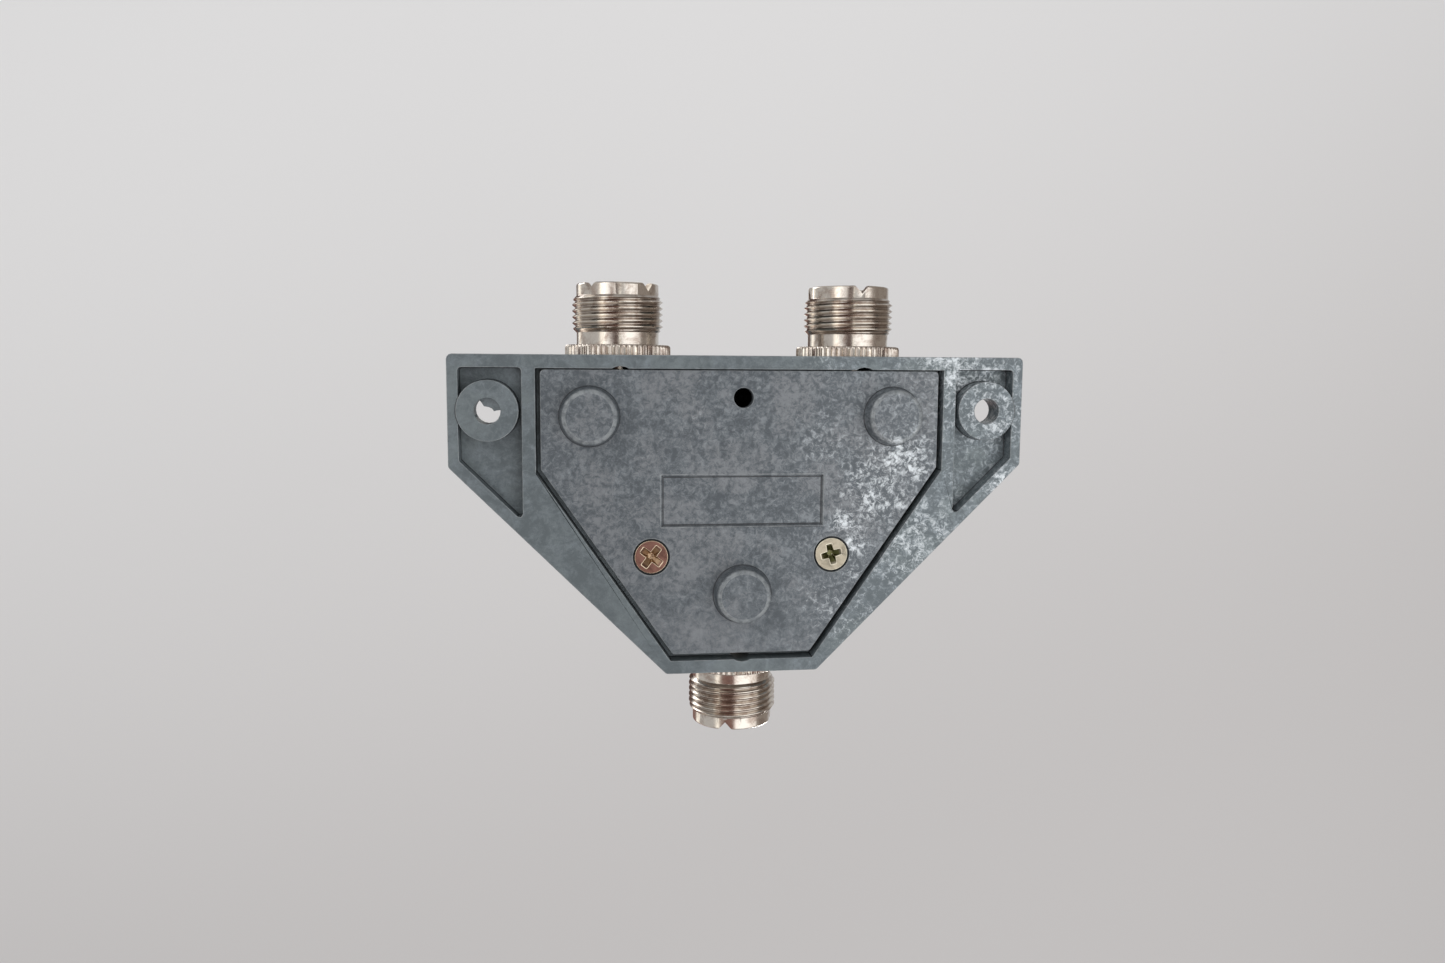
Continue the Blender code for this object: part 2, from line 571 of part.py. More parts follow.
def cover_foot():
    base = FOOT_TOP_RADIUS + FOOT_SPREAD
    root = FOOT_HEIGHT + COVER_THICKNESS / 2
    return turned([(0, 0), (FOOT_TOP_RADIUS - FOOT_EDGE_ROUND, 0), (FOOT_TOP_RADIUS, FOOT_EDGE_ROUND),
                   (base, FOOT_HEIGHT), (base, root), (0, root)], 32)


def countersink():
    wide = SCREW_HEAD_RADIUS + BORE_GAP
    narrow = SCREW_SHANK_RADIUS + BORE_GAP
    straight = FOOT_HEIGHT + SCREW_SINK + SCREW_HEAD_EDGE
    return turned([(0, FOOT_HEIGHT - THROUGH), (wide, FOOT_HEIGHT - THROUGH), (wide, straight),
                   (narrow, straight + wide - narrow), (narrow, COVER_INNER_Z + THROUGH),
                   (0, COVER_INNER_Z + THROUGH)], 32)


# Countersunk cross-head screws that hold the cover to the columns
def cover_screw(name, side, turn):
    cone = SCREW_HEAD_RADIUS - SCREW_SHANK_RADIUS
    blank = turned([
        (0, 0), (SCREW_HEAD_RADIUS, 0), (SCREW_HEAD_RADIUS, SCREW_HEAD_EDGE),
        (SCREW_SHANK_RADIUS, SCREW_HEAD_EDGE + cone), (SCREW_SHANK_RADIUS, SCREW_LENGTH - SCREW_TIP),
        (SCREW_SHANK_RADIUS - SCREW_TIP, SCREW_LENGTH), (0, SCREW_LENGTH)], 32)
    screw = place(name, blank, YELLOW_ZINC, (side * SCREW_X, SCREW_Y, FOOT_HEIGHT + SCREW_SINK), (0, 0, turn))
    mouth = rectangle(-CROSS_REACH, -CROSS_WIDTH / 2, CROSS_REACH, CROSS_WIDTH / 2)
    floor = [(x / 3, y * 2 / 3) for x, y in mouth]
    slope = THROUGH / CROSS_DEPTH
    flare = [(x + (x - u) * slope, y + (y - v) * slope) for (x, y), (u, v) in zip(mouth, floor)]
    for quarter in (0, 1):
        wing = prism(flare, -THROUGH, CROSS_DEPTH, floor)
        shape(screw, 'DIFFERENCE', moved(wing, (0, 0, 0), turn_about('Z', quarter * math.pi / 2)))
    return screw


# Coaxial sockets: each stands on an outer wall, with its own axis as local Z
def socket_body(name, location, rotation, turn):
    """Body of a socket: knurled ring, tail and threaded barrel, bored and notched."""
    teeth = []
    for tooth in range(RING_TEETH):
        teeth.append(polar(RING_RADIUS, math.tau * tooth / RING_TEETH))
        teeth.append(polar(RING_RADIUS - RING_TOOTH_DEPTH, math.tau * (tooth + 0.5) / RING_TEETH))
    shell = place(name, prism(teeth, SEAT_GAP, RING_FRONT), NICKEL, location, rotation)
    middle = (SEAT_GAP + RING_FRONT) / 2
    shape(shell, 'UNION', turned([
        (0, TAIL_END), (TAIL_RADIUS, TAIL_END), (TAIL_RADIUS, middle), (NECK_RADIUS, middle),
        (NECK_RADIUS, THREAD_START), (THREAD_RADIUS, THREAD_START + THREAD_CHAMFER),
        (THREAD_RADIUS, THREAD_END - THREAD_CHAMFER), (LIP_RADIUS, THREAD_END),
        (LIP_RADIUS, LIP_END - LIP_ROUND), (LIP_RADIUS - LIP_ROUND, LIP_END), (0, LIP_END)]))
    shape(shell, 'DIFFERENCE', turned([
        (0, TAIL_END - THROUGH), (TAIL_BORE_RADIUS, TAIL_END - THROUGH), (TAIL_BORE_RADIUS, MOUTH_FLOOR),
        (MOUTH_RADIUS, MOUTH_FLOOR), (MOUTH_RADIUS, LIP_END + THROUGH), (0, LIP_END + THROUGH)]))
    upright = turn_about('Z', math.radians(90)) @ turn_about('X', math.radians(90))
    rise = NOTCH_DEPTH / 10
    half_width = NOTCH_WIDTH / 2 * (1 + rise / NOTCH_DEPTH)
    for notch in range(NOTCH_COUNT):
        wedge = prism([(-half_width, rise), (0, -NOTCH_DEPTH), (half_width, rise)],
                      MOUTH_RADIUS - THROUGH, LIP_RADIUS + THROUGH)
        spin = turn_about('Z', turn + math.tau * notch / NOTCH_COUNT)
        shape(shell, 'DIFFERENCE', moved(wedge, (0, 0, LIP_END), spin @ upright))
    return shell


def socket_insulator(name, location, rotation):
    face = MOUTH_RADIUS - BORE_GAP
    tail = TAIL_BORE_RADIUS - BORE_GAP
    bore = CONTACT_RADIUS + BORE_GAP
    floor = MOUTH_FLOOR + SEAT_GAP
    return place(name, turned([(bore, INSULATOR_END), (tail, INSULATOR_END), (tail, floor), (face, floor),
                               (face, INSULATOR_FRONT), (bore, INSULATOR_FRONT)], COARSE, True),
                 INSULATION, location, rotation)


def socket_contact(name, location, rotation):
    """Tube that takes the plug's pin, slit in four at its mouth, with a solder cup at its tail."""
    floor = CONTACT_FRONT - CONTACT_BORE_DEPTH
    cup_radius = PIN_RADIUS + CUP_PLAY
    contact = place(name, turned([
        (0, floor), (CONTACT_BORE_RADIUS, floor + CONTACT_BORE_CONE), (CONTACT_BORE_RADIUS, CONTACT_FRONT),
        (CONTACT_RADIUS, CONTACT_FRONT), (CONTACT_RADIUS, CONTACT_END), (cup_radius, CONTACT_END),
        (cup_radius, CONTACT_END + CUP_DEPTH), (0, CONTACT_END + CUP_DEPTH)], 20),
        SILVERED, location, rotation)
    for quarter in (0, 1):
        slit = bar((-CONTACT_RADIUS - THROUGH, -CONTACT_SLIT / 2, CONTACT_FRONT - CONTACT_SLIT_DEPTH),
                   (CONTACT_RADIUS + THROUGH, CONTACT_SLIT / 2, CONTACT_FRONT + THROUGH))
        shape(contact, 'DIFFERENCE', moved(slit, (0, 0, 0), turn_about('Z', quarter * math.pi / 2)))
    return contact


def socket_nut(name, location, rotation):
    blank = prism(hexagon(2 * (TAIL_RADIUS + NUT_WALL)), NUT_END, NUT_BACK)
    nut = place(name, blank, NICKEL, location, rotation)
    shape(nut, 'DIFFERENCE', rod(TAIL_RADIUS + BORE_GAP, NUT_END - THROUGH, NUT_BACK + THROUGH, 32))
    return nut


# Fixed contacts: a sprung jaw over the rotor's edge, and a pin in the socket contact's cup
def fixed_contact(name, angle, socket_x, side):
    heading = turn_about('Z', angle)
    centre = Vector((0, 0, AXIS_Z))
    half_gap = ROTOR_THICKNESS / 2 + BLADE_THICKNESS + 2 * SEAT_GAP
    throat = ROTOR_RADIUS + SEAT_GAP
    back = throat + JAW_BLOCK
    block = bar((JAW_TIP_RADIUS, -JAW_WIDTH / 2, -half_gap - JAW_FINGER),
                (back, JAW_WIDTH / 2, half_gap + JAW_FINGER))
    jaw = place(name, moved(block, centre, heading), SILVERED)
    mouth = bar((JAW_TIP_RADIUS - THROUGH, -JAW_WIDTH, -half_gap), (throat, JAW_WIDTH, half_gap))
    shape(jaw, 'DIFFERENCE', moved(mouth, centre, heading))

    cup_y = side * (WALL_Y + CONTACT_END)
    start = at_angle(back - JAW_BLOCK / 2, angle)
    elbow = Vector((socket_x, cup_y - side * LINK_SETBACK, 0))
    run = elbow - start
    pin_start = start.y
    if abs(run.x) > LINK_WIDTH:
        link = bar((0, -LINK_WIDTH / 2, -LINK_THICKNESS / 2),
                   (run.length + LINK_WIDTH / 2, LINK_WIDTH / 2, LINK_THICKNESS / 2))
        shape(jaw, 'UNION', moved(link, start + centre, turn_about('Z', math.atan2(run.y, run.x))))
        pin_start = elbow.y
    pin_end = cup_y + side * (CUP_DEPTH - SEAT_GAP)
    pin = rod(PIN_RADIUS, 0, abs(pin_end - pin_start), 12)
    shape(jaw, 'UNION', moved(pin, (socket_x, pin_start, AXIS_Z), turn_about('X', math.radians(-90 * side))))
    return jaw


# Shaft, with a flat for the knob's grub screw and a groove for the clip
def shaft(pivot):
    low = CLIP_LOW_Z - SHAFT_TAIL
    high = SHAFT_TOP_Z
    neck = SHAFT_RADIUS - CLIP_GROOVE_DEPTH
    groove_low = CLIP_LOW_Z - RUNNING_GAP
    groove_high = CLIP_HIGH_Z + RUNNING_GAP
    stem = place("shaft", turned([
        (0, low), (SHAFT_RADIUS - SHAFT_CHAMFER, low), (SHAFT_RADIUS, low + SHAFT_CHAMFER),
        (SHAFT_RADIUS, groove_low), (neck, groove_low), (neck, groove_high), (SHAFT_RADIUS, groove_high),
        (SHAFT_RADIUS, high - SHAFT_CHAMFER), (SHAFT_RADIUS - SHAFT_CHAMFER, high), (0, high)], COARSE),
        STEEL, rotation=(0, 0, THROW / 2), parent=pivot)
    flat_y = -(SHAFT_RADIUS - SHAFT_FLAT)
    shape(stem, 'DIFFERENCE', bar((-SHAFT_RADIUS * 2, flat_y - SHAFT_RADIUS, BUSHING_TOP_Z),
                                  (SHAFT_RADIUS * 2, flat_y, high + THROUGH)))
    return stem


# Threaded bushing that carries the shaft, clamped to the front wall by its washer and nut
def shaft_bushing():
    flange_top = FRONT_INNER_Z - SEAT_GAP
    flange_low = flange_top - BUSHING_FLANGE
    flange = BUSHING_RADIUS + BUSHING_FLANGE_REACH
    bore = SHAFT_RADIUS + RUNNING_GAP
    return place("shaft_bushing", turned([
        (bore, flange_low), (flange, flange_low), (flange, flange_top), (BUSHING_RADIUS, flange_top),
        (BUSHING_RADIUS, BUSHING_TOP_Z - BUSHING_CHAMFER), (BUSHING_RADIUS - BUSHING_CHAMFER, BUSHING_TOP_Z),
        (bore, BUSHING_TOP_Z)], COARSE, True), BRASS)


def bushing_washer():
    bore = BUSHING_RADIUS + BORE_GAP
    high = WASHER_Z + WASHER_THICKNESS
    return place("bushing_washer", turned([(bore, WASHER_Z), (WASHER_RADIUS, WASHER_Z), (WASHER_RADIUS, high),
                                           (bore, high)], COARSE, True), STEEL)


def bushing_nut():
    high = BUSHING_NUT_Z + BUSHING_NUT_THICKNESS
    blank = prism(hexagon(2 * (BUSHING_RADIUS + BUSHING_NUT_WALL)), BUSHING_NUT_Z, high)
    nut = place("bushing_nut", blank, NICKEL)
    shape(nut, 'DIFFERENCE', rod(BUSHING_RADIUS + BORE_GAP, BUSHING_NUT_Z - THROUGH, high + THROUGH, 32))
    return nut


# Detent: a steel wheel with a notch for each position and a lug that meets the stops
def detent_wheel(pivot):
    steps = 48
    notches = (COMMON_SIDE - POSITION_1, COMMON_SIDE - POSITION_1 + THROW)
    notch_span = WHEEL_NOTCH_HALF_WIDTH / WHEEL_RADIUS
    lug_span = math.asin(LUG_HALF_WIDTH / WHEEL_RADIUS)
    spots = []
    for step in range(steps):
        angle = math.tau * step / steps
        nearest = min(abs(math.remainder(angle - notch, math.tau)) for notch in notches)
        if nearest > notch_span and abs(math.remainder(angle, math.tau)) > lug_span:
            spots.append((angle, WHEEL_RADIUS))
    for notch in notches:
        spots.append((notch - notch_span, WHEEL_RADIUS))
        spots.append((notch, WHEEL_RADIUS - WHEEL_NOTCH_DEPTH))
        spots.append((notch + notch_span, WHEEL_RADIUS))
    tip_radius = WHEEL_RADIUS + LUG_LENGTH
    tip_span = math.asin(LUG_HALF_WIDTH / tip_radius)
    wheel_outline = [polar(radius, angle) for angle, radius in sorted(spots)]
    lug_outline = [polar(WHEEL_RADIUS, -lug_span), polar(tip_radius, -tip_span), polar(tip_radius, tip_span),
                   polar(WHEEL_RADIUS, lug_span)]
    wheel = place("detent_wheel", prism(lug_outline + wheel_outline, WHEEL_BOTTOM_Z, WHEEL_TOP_Z), STEEL,
                  rotation=(0, 0, POSITION_1), parent=pivot)
    bore = rod(SHAFT_RADIUS + BORE_GAP, WHEEL_BOTTOM_Z - THROUGH, WHEEL_TOP_Z + THROUGH, 32)
    shape(wheel, 'DIFFERENCE', bore)
    return wheel


def detent_spring():
    """Sprung strip held between four posts, with its bend resting in the wheel's notch."""
    half = SPRING_THICKNESS / 2
    crest = -(WHEEL_RADIUS - WHEEL_NOTCH_DEPTH) - SEAT_GAP - half
    bend = WHEEL_NOTCH_HALF_WIDTH
    spine = [(-SPRING_HALF_LENGTH, SPRING_Y), (-bend, SPRING_Y), (0, crest), (bend, SPRING_Y),
             (SPRING_HALF_LENGTH, SPRING_Y)]
    outline = [(x, y - half) for x, y in spine] + [(x, y + half) for x, y in reversed(spine)]
    middle = (WHEEL_BOTTOM_Z + WHEEL_TOP_Z) / 2
    return place("detent_spring", prism(outline, middle - SPRING_WIDTH / 2, middle + SPRING_WIDTH / 2), STEEL)


# Rotor: an insulating disc between the two blades, with a hub up to the detent wheel
def rotor_disc(pivot):
    bore = SHAFT_RADIUS + BORE_GAP
    low = AXIS_Z - ROTOR_THICKNESS / 2
    high = AXIS_Z + ROTOR_THICKNESS / 2
    hub_top = WHEEL_BOTTOM_Z - SEAT_GAP
    return place("rotor_disc", turned([
        (bore, low), (ROTOR_RADIUS, low), (ROTOR_RADIUS, high), (HUB_RADIUS, high), (HUB_RADIUS, hub_top),
        (bore, hub_top)], FINE, True), INSULATION, parent=pivot)


def blade(name, pivot, low, inner_radius, arms, finish):
    """A flat ring with arms: each arm is a centre angle and half its spread."""
    steps = 48
    edge = math.radians(0.05)
    ring_radius = JAW_TIP_RADIUS - BLADE_RING_GAP
    arm_radius = ROTOR_RADIUS - BLADE_EDGE
    angles = {math.tau * step / steps for step in range(steps)}
    for centre, spread in arms:
        for flank in (centre - spread, centre + spread):
            angles |= {(flank - edge) % math.tau, (flank + edge) % math.tau}
    outline = []
    for angle in sorted(angles):
        on_arm = any(abs(math.remainder(angle - centre, math.tau)) < spread for centre, spread in arms)
        outline.append(polar(arm_radius if on_arm else ring_radius, angle))
    plate = place(name, prism(outline, low, low + BLADE_THICKNESS), finish, rotation=(0, 0, POSITION_1),
                  parent=pivot)
    shape(plate, 'DIFFERENCE', rod(inner_radius, low - THROUGH, low + BLADE_THICKNESS + THROUGH, 32))
    return plate


def contact_blade(pivot):
    """Its head meets one output's jaw, and its wide tail the common jaw in both positions."""
    tail_spread = THROW / 2 + BLADE_HALF_ANGLE
    blade("contact_blade", pivot, BLADE_LOW_Z, HUB_RADIUS + BORE_GAP,
          ((0.0, BLADE_HALF_ANGLE), (math.pi, tail_spread)), SILVERED)


def ground_plate(pivot):
    """Two arms, one to each side of the contact blade's head, for the output that is not in use."""
    blade("ground_plate", pivot, GROUND_LOW_Z, SHAFT_RADIUS + BORE_GAP,
          ((THROW, BLADE_HALF_ANGLE), (-THROW, BLADE_HALF_ANGLE)), BRASS)


def retaining_clip(pivot):
    grip = SHAFT_RADIUS - CLIP_GROOVE_DEPTH + RUNNING_GAP
    reach = SHAFT_RADIUS + CLIP_REACH
    clip = place("retaining_clip", turned([(grip, CLIP_LOW_Z), (reach, CLIP_LOW_Z), (reach, CLIP_HIGH_Z),
                                           (grip, CLIP_HIGH_Z)], COARSE, True), STEEL,
                 parent=pivot)
    shape(clip, 'DIFFERENCE', bar((0, -CLIP_MOUTH, CLIP_LOW_Z - THROUGH),
                                  (reach + THROUGH, CLIP_MOUTH, CLIP_HIGH_Z + THROUGH)))
    return clip


# Knob with a moulded skirt, flutes, brass insert and a grub screw opposite its pointer line
def knob(pivot):
    shoulder = KNOB_Z + KNOB_SKIRT_HEIGHT
    grip_low = shoulder + KNOB_SLOPE_HEIGHT
    cap = place("knob", turned([
        (0, KNOB_Z), (KNOB_SKIRT_RADIUS, KNOB_Z), (KNOB_SKIRT_RADIUS, shoulder), (KNOB_GRIP_RADIUS, grip_low),
        (0, grip_low)], FINE), BLACK_PLASTIC, rotation=(0, 0, THROW / 2), parent=pivot)
    shape(cap, 'UNION', knob_grip(shoulder + KNOB_SLOPE_HEIGHT / 2))
    well = INSERT_RADIUS + BORE_GAP
    well_top = INSERT_Z + INSERT_LENGTH + SEAT_GAP
    shape(cap, 'DIFFERENCE',
          turned([(0, KNOB_Z - THROUGH), (KNOB_RECESS_RADIUS, KNOB_Z - THROUGH),
                  (KNOB_RECESS_RADIUS, INSERT_Z), (well, INSERT_Z), (well, well_top), (0, well_top)], FINE),
          grub_hole(KNOB_SKIRT_RADIUS),
          bar((-KNOB_LINE_WIDTH / 2, KNOB_LINE_START, KNOB_TOP_Z - KNOB_LINE_DEPTH),
              (KNOB_LINE_WIDTH / 2, KNOB_SKIRT_RADIUS, KNOB_TOP_Z + THROUGH)))
    return cap


def knob_grip(low):
    """Tapered grip whose flutes are rounded hollows between narrow ribs."""
    points = KNOB_FLUTES * 4
    lower = []
    upper = []
    for point in range(points):
        angle = math.tau * point / points
        hollow = KNOB_FLUTE_DEPTH * abs(math.sin(KNOB_FLUTES * angle / 2)) ** 1.5
        radius = KNOB_GRIP_RADIUS - KNOB_GRIP_STEP - hollow
        lower.append(polar(radius, angle))
        upper.append(polar(radius - KNOB_GRIP_TAPER, angle))
    grip = prism(lower, low, KNOB_TOP_Z, upper)
    top_edges = [edge for edge in grip.edges if all(vert.co.z > KNOB_TOP_Z - 1e-6 for vert in edge.verts)]
    bmesh.ops.bevel(grip, geom=top_edges, offset=KNOB_EDGE_ROUND, segments=2, profile=0.5,
                    affect='EDGES', material=-1)
    return grip


def along_grub(bm):
    """Lay a mesh that stands on Z along the knob's local -Y, at the grub screw's height."""
    return moved(bm, (0, 0, GRUB_Z), turn_about('X', math.radians(90)))


def grub_hole(reach):
    return along_grub(rod(GRUB_RADIUS + BORE_GAP, 0, reach + THROUGH, 16))


def knob_insert(pivot):
    bore = SHAFT_RADIUS + BORE_GAP
    high = INSERT_Z + INSERT_LENGTH
    sleeve = place("knob_insert", turned([(bore, INSERT_Z), (INSERT_RADIUS, INSERT_Z), (INSERT_RADIUS, high),
                                          (bore, high)], COARSE, True),
                   BRASS, rotation=(0, 0, THROW / 2), parent=pivot)
    shape(sleeve, 'DIFFERENCE', grub_hole(INSERT_RADIUS))
    return sleeve


def knob_grub_screw(pivot):
    """Set screw that bears on the shaft's flat, with a hexagonal key hole."""
    start = SHAFT_RADIUS - SHAFT_FLAT + SEAT_GAP
    end = start + GRUB_LENGTH
    blank = turned([(0, start), (GRUB_RADIUS - GRUB_CHAMFER, start), (GRUB_RADIUS, start + GRUB_CHAMFER),
                    (GRUB_RADIUS, end), (0, end)], 16)
    grub = place("knob_grub_screw", along_grub(blank), STEEL, rotation=(0, 0, THROW / 2), parent=pivot)
    shape(grub, 'DIFFERENCE', along_grub(rod(GRUB_KEY_RADIUS, end - GRUB_KEY_DEPTH, end + THROUGH, 6)))
    return grub


# Assembly: what stays with the body
housing()
back_cover()
cover_screw("cover_screw_left", -1, SCREW_TURNS[0])
cover_screw("cover_screw_right", 1, SCREW_TURNS[1])

for label, x, side, jaw_angle in (("1", -SOCKET_X, 1, POSITION_1), ("2", SOCKET_X, 1, POSITION_2),
                                  ("common", 0, -1, COMMON_SIDE)):
    spot = (x, side * WALL_Y, AXIS_Z)
    facing = (math.radians(-90 * side), 0, 0)
    socket_body("socket_body_" + label, spot, facing, NOTCH_TURNS[label])
    socket_insulator("socket_insulator_" + label, spot, facing)
    socket_contact("socket_contact_" + label, spot, facing)
    socket_nut("socket_nut_" + label, spot, facing)
    fixed_contact("fixed_contact_" + label, jaw_angle, x, side)

shaft_bushing()
bushing_washer()
bushing_nut()
detent_spring()

# Assembly: what turns with the shaft
shaft_pivot = bpy.data.objects.new("shaft_pivot", None)
bpy.context.scene.collection.objects.link(shaft_pivot)
for turning_piece in (shaft, detent_wheel, rotor_disc, contact_blade, ground_plate, retaining_clip,
                      knob, knob_insert, knob_grub_screw):
    turning_piece(shaft_pivot)
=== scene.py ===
"""Looks of a two-way coaxial aerial switch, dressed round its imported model.

Lengths are in metres in the model's own frame: X along the ears, Y towards the two output
sockets, Z out of the front face. The photograph looks up at the back cover.
"""
import math

import bmesh
import bpy
from mathutils import Euler, Matrix, Vector


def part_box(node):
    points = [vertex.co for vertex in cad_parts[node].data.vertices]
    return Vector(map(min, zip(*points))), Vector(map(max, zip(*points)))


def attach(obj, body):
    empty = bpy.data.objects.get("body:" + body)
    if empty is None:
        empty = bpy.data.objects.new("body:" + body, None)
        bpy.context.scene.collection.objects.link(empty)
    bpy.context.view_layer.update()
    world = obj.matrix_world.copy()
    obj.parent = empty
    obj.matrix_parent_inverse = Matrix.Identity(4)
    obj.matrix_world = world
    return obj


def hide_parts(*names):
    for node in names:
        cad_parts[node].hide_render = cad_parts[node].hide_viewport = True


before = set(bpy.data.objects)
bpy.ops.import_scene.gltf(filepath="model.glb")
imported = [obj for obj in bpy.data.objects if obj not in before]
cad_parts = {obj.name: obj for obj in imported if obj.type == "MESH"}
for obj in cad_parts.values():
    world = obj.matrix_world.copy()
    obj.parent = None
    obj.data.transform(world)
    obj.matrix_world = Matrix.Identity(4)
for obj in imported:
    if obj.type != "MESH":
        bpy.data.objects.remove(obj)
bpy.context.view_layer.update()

# Housing
# One zinc die casting: a deep box with an ear on each side, open at the back, with a ledge that
# the cover lies on. It is bare metal, grown dull and blue-grey, with its cast edges a little round.
MM = 0.001
CAST_EDGE_ROUND = 0.13 * MM
CAST_SHARP_ANGLE = math.radians(32)
SMOOTH_ANGLE = math.radians(50)
FLAT_ANGLE = math.radians(0.2)  # between triangles of one flat face
SAME_POINT = 0.002 * MM
FRONT_OF_EARS = 6.9 * MM
HOUSING_DARK = (0.106, 0.127, 0.138, 1)
HOUSING_LIGHT = (0.202, 0.236, 0.259, 1)
HOUSING_TINGED = (0.168, 0.199, 0.211, 1)
ZINC_BARE_GLINT = (0.62, 0.66, 0.69, 1)
ZINC_WORN_HIGHLIT = (0.28, 0.30, 0.31, 1)
ZINC_DIRT_AND_SHADE = (0.030, 0.032, 0.036, 1)
HOUSING_PATCH_SCALE = 300.0                 # the patterns' scales are in cells per metre
HOUSING_MOTTLING = 0.5


def supply(tree, made, inputs):
    """Give a node's inputs: each is a constant or another node's output."""
    for socket, value in inputs.items():
        if isinstance(value, bpy.types.NodeSocket):
            tree.links.new(value, made.inputs[socket])
        else:
            made.inputs[socket].default_value = value


def add(tree, kind, inputs=None, **settings):
    """Add a shader node with its settings and inputs."""
    made = tree.nodes.new("ShaderNode" + kind)
    for key, value in settings.items():
        setattr(made, key, value)
    supply(tree, made, inputs or {})
    return made


def noise(tree, vector, scale, detail=4.0, roughness=0.6, distortion=0.0):
    return add(tree, "TexNoise", {"Vector": vector, "Scale": scale, "Detail": detail,
                                  "Roughness": roughness, "Distortion": distortion}).outputs["Fac"]


def maths(tree, operation, first, second=0.0, clamp=False):
    return add(tree, "Math", {0: first, 1: second}, operation=operation, use_clamp=clamp).outputs[0]


def between(tree, value, low, high):
    """0 below the low value, 1 above the high one, and a smooth step between them."""
    return add(tree, "MapRange", {"Value": value, "From Min": low, "From Max": high},
               interpolation_type='SMOOTHSTEP').outputs["Result"]


def remapped(tree, value, first, last, low=0.0, high=1.0):
    """The first value at the low end, the last one at the high end, and evenly between them."""
    return add(tree, "MapRange", {"Value": value, "From Min": low, "From Max": high,
                                  "To Min": first, "To Max": last}).outputs["Result"]


def blended(tree, factor, first, second):
    return add(tree, "Mix", {0: factor, 6: first, 7: second}, data_type='RGBA').outputs[2]


def effect(name, inputs, outputs):
    """Start a node group with named inputs and outputs."""
    tree = bpy.data.node_groups.new(name, 'ShaderNodeTree')
    for title, kind in inputs:
        tree.interface.new_socket(name=title, in_out='INPUT', socket_type="NodeSocket" + kind)
    for title in outputs:
        tree.interface.new_socket(name=title, in_out='OUTPUT', socket_type="NodeSocketFloat")
    return tree, tree.nodes.new("NodeGroupInput").outputs, tree.nodes.new("NodeGroupOutput").inputs


def use(tree, group, inputs):
    """Place a node group in a material with its own values."""
    made = tree.nodes.new("ShaderNodeGroup")
    made.node_tree = group
    supply(tree, made, inputs)
    return made.outputs


def new_material(name, **constants):
    """A material with its constants on the shader's own sockets."""
    material = bpy.data.materials.new(name)
    material.use_nodes = True
    shader = material.node_tree.nodes["Principled BSDF"]
    for socket, value in constants.items():
        shader.inputs[socket.replace("_", " ")].default_value = value
    return material, material.node_tree, shader.inputs


def bump(tree, sockets, height, distance, strength=1.0):
    made = add(tree, "Bump", {"Height": height, "Distance": distance, "Strength": strength})
    tree.links.new(made.outputs["Normal"], sockets["Normal"])


CLOUD_SCALE = 130.0
CRUMPLE_SCALE = 1050.0
GRAIN_SCALE = 5200.0
PATCH_SHARE = 0.6
CLOUD_SHARE = 0.4
GRAIN_SHARE = 0.35
TONE_RANGE = (0.34, 0.70)                   # noise values at the dark and at the light tone
CLOUD_RANGE = (0.44, 0.60)
FLECK_RANGE = (0.595, 0.77)
RUB_AND_GLINT_GROWTH = 0.20                        # how far rubbing, and the painted glints, widen the flecks
RUB_AND_GLINT_SHOW = 0.9
PLAIN_SHOW = 0.15                           # how far flecks, partly painted glints, show where nothing is rubbed


def cast_skin():
    """Cloudy patches, crumpled mottling, fine grain and rubbed flecks of a handled zinc casting, the flecks
    partly painted glints.
    """
    tree, given, out = effect("cast_skin", (("Vector", "Vector"), ("Patch Scale", "Float"),
                                            ("Mottling", "Float"), ("Rubbed And Glinting", "Float")),
                              ("Tone", "Cloud", "Flecks", "Height"))
    where = given["Vector"]
    patch = noise(tree, where, given["Patch Scale"], detail=6.0, roughness=0.70, distortion=0.6)
    cloud = noise(tree, where, CLOUD_SCALE, detail=3.0, roughness=0.55)
    crumple = noise(tree, where, CRUMPLE_SCALE, detail=7.0, roughness=0.80, distortion=0.7)
    grain = noise(tree, where, GRAIN_SCALE, detail=2.0, roughness=0.5)
    mixed = maths(tree, 'ADD', maths(tree, 'MULTIPLY', patch, PATCH_SHARE),
                  maths(tree, 'MULTIPLY', cloud, CLOUD_SHARE))
    ragged = maths(tree, 'MULTIPLY', maths(tree, 'SUBTRACT', crumple, 0.5), given["Mottling"])
    tone = between(tree, maths(tree, 'ADD', mixed, ragged), *TONE_RANGE)
    speckled = maths(tree, 'MULTIPLY', maths(tree, 'SUBTRACT', grain, 0.5), GRAIN_SHARE)
    tree.links.new(maths(tree, 'ADD', tone, speckled, True), out["Tone"])
    tree.links.new(between(tree, cloud, *CLOUD_RANGE), out["Cloud"])
    worn_and_glinting = maths(tree, 'ADD', crumple, maths(tree, 'MULTIPLY', given["Rubbed And Glinting"], RUB_AND_GLINT_GROWTH))
    fleck = between(tree, worn_and_glinting, *FLECK_RANGE)
    strength = maths(tree, 'ADD', maths(tree, 'MULTIPLY', given["Rubbed And Glinting"], RUB_AND_GLINT_SHOW), PLAIN_SHOW, True)
    tree.links.new(maths(tree, 'MULTIPLY', fleck, strength), out["Flecks"])
    rough = maths(tree, 'ADD', maths(tree, 'MULTIPLY', crumple, 0.7), maths(tree, 'MULTIPLY', grain, 0.3))
    tree.links.new(rough, out["Height"])
    return tree


CAST_SKIN = cast_skin()

BACK_PLANE = 3.0 * MM
RUB_AND_GLINT_DEPTHS = (6.6 * MM, 5.6 * MM)        # the rubbed places and their painted glints fade in between these heights
RAGGED_SCALE = 330.0
RAGGED_RANGE = (0.38, 0.62)


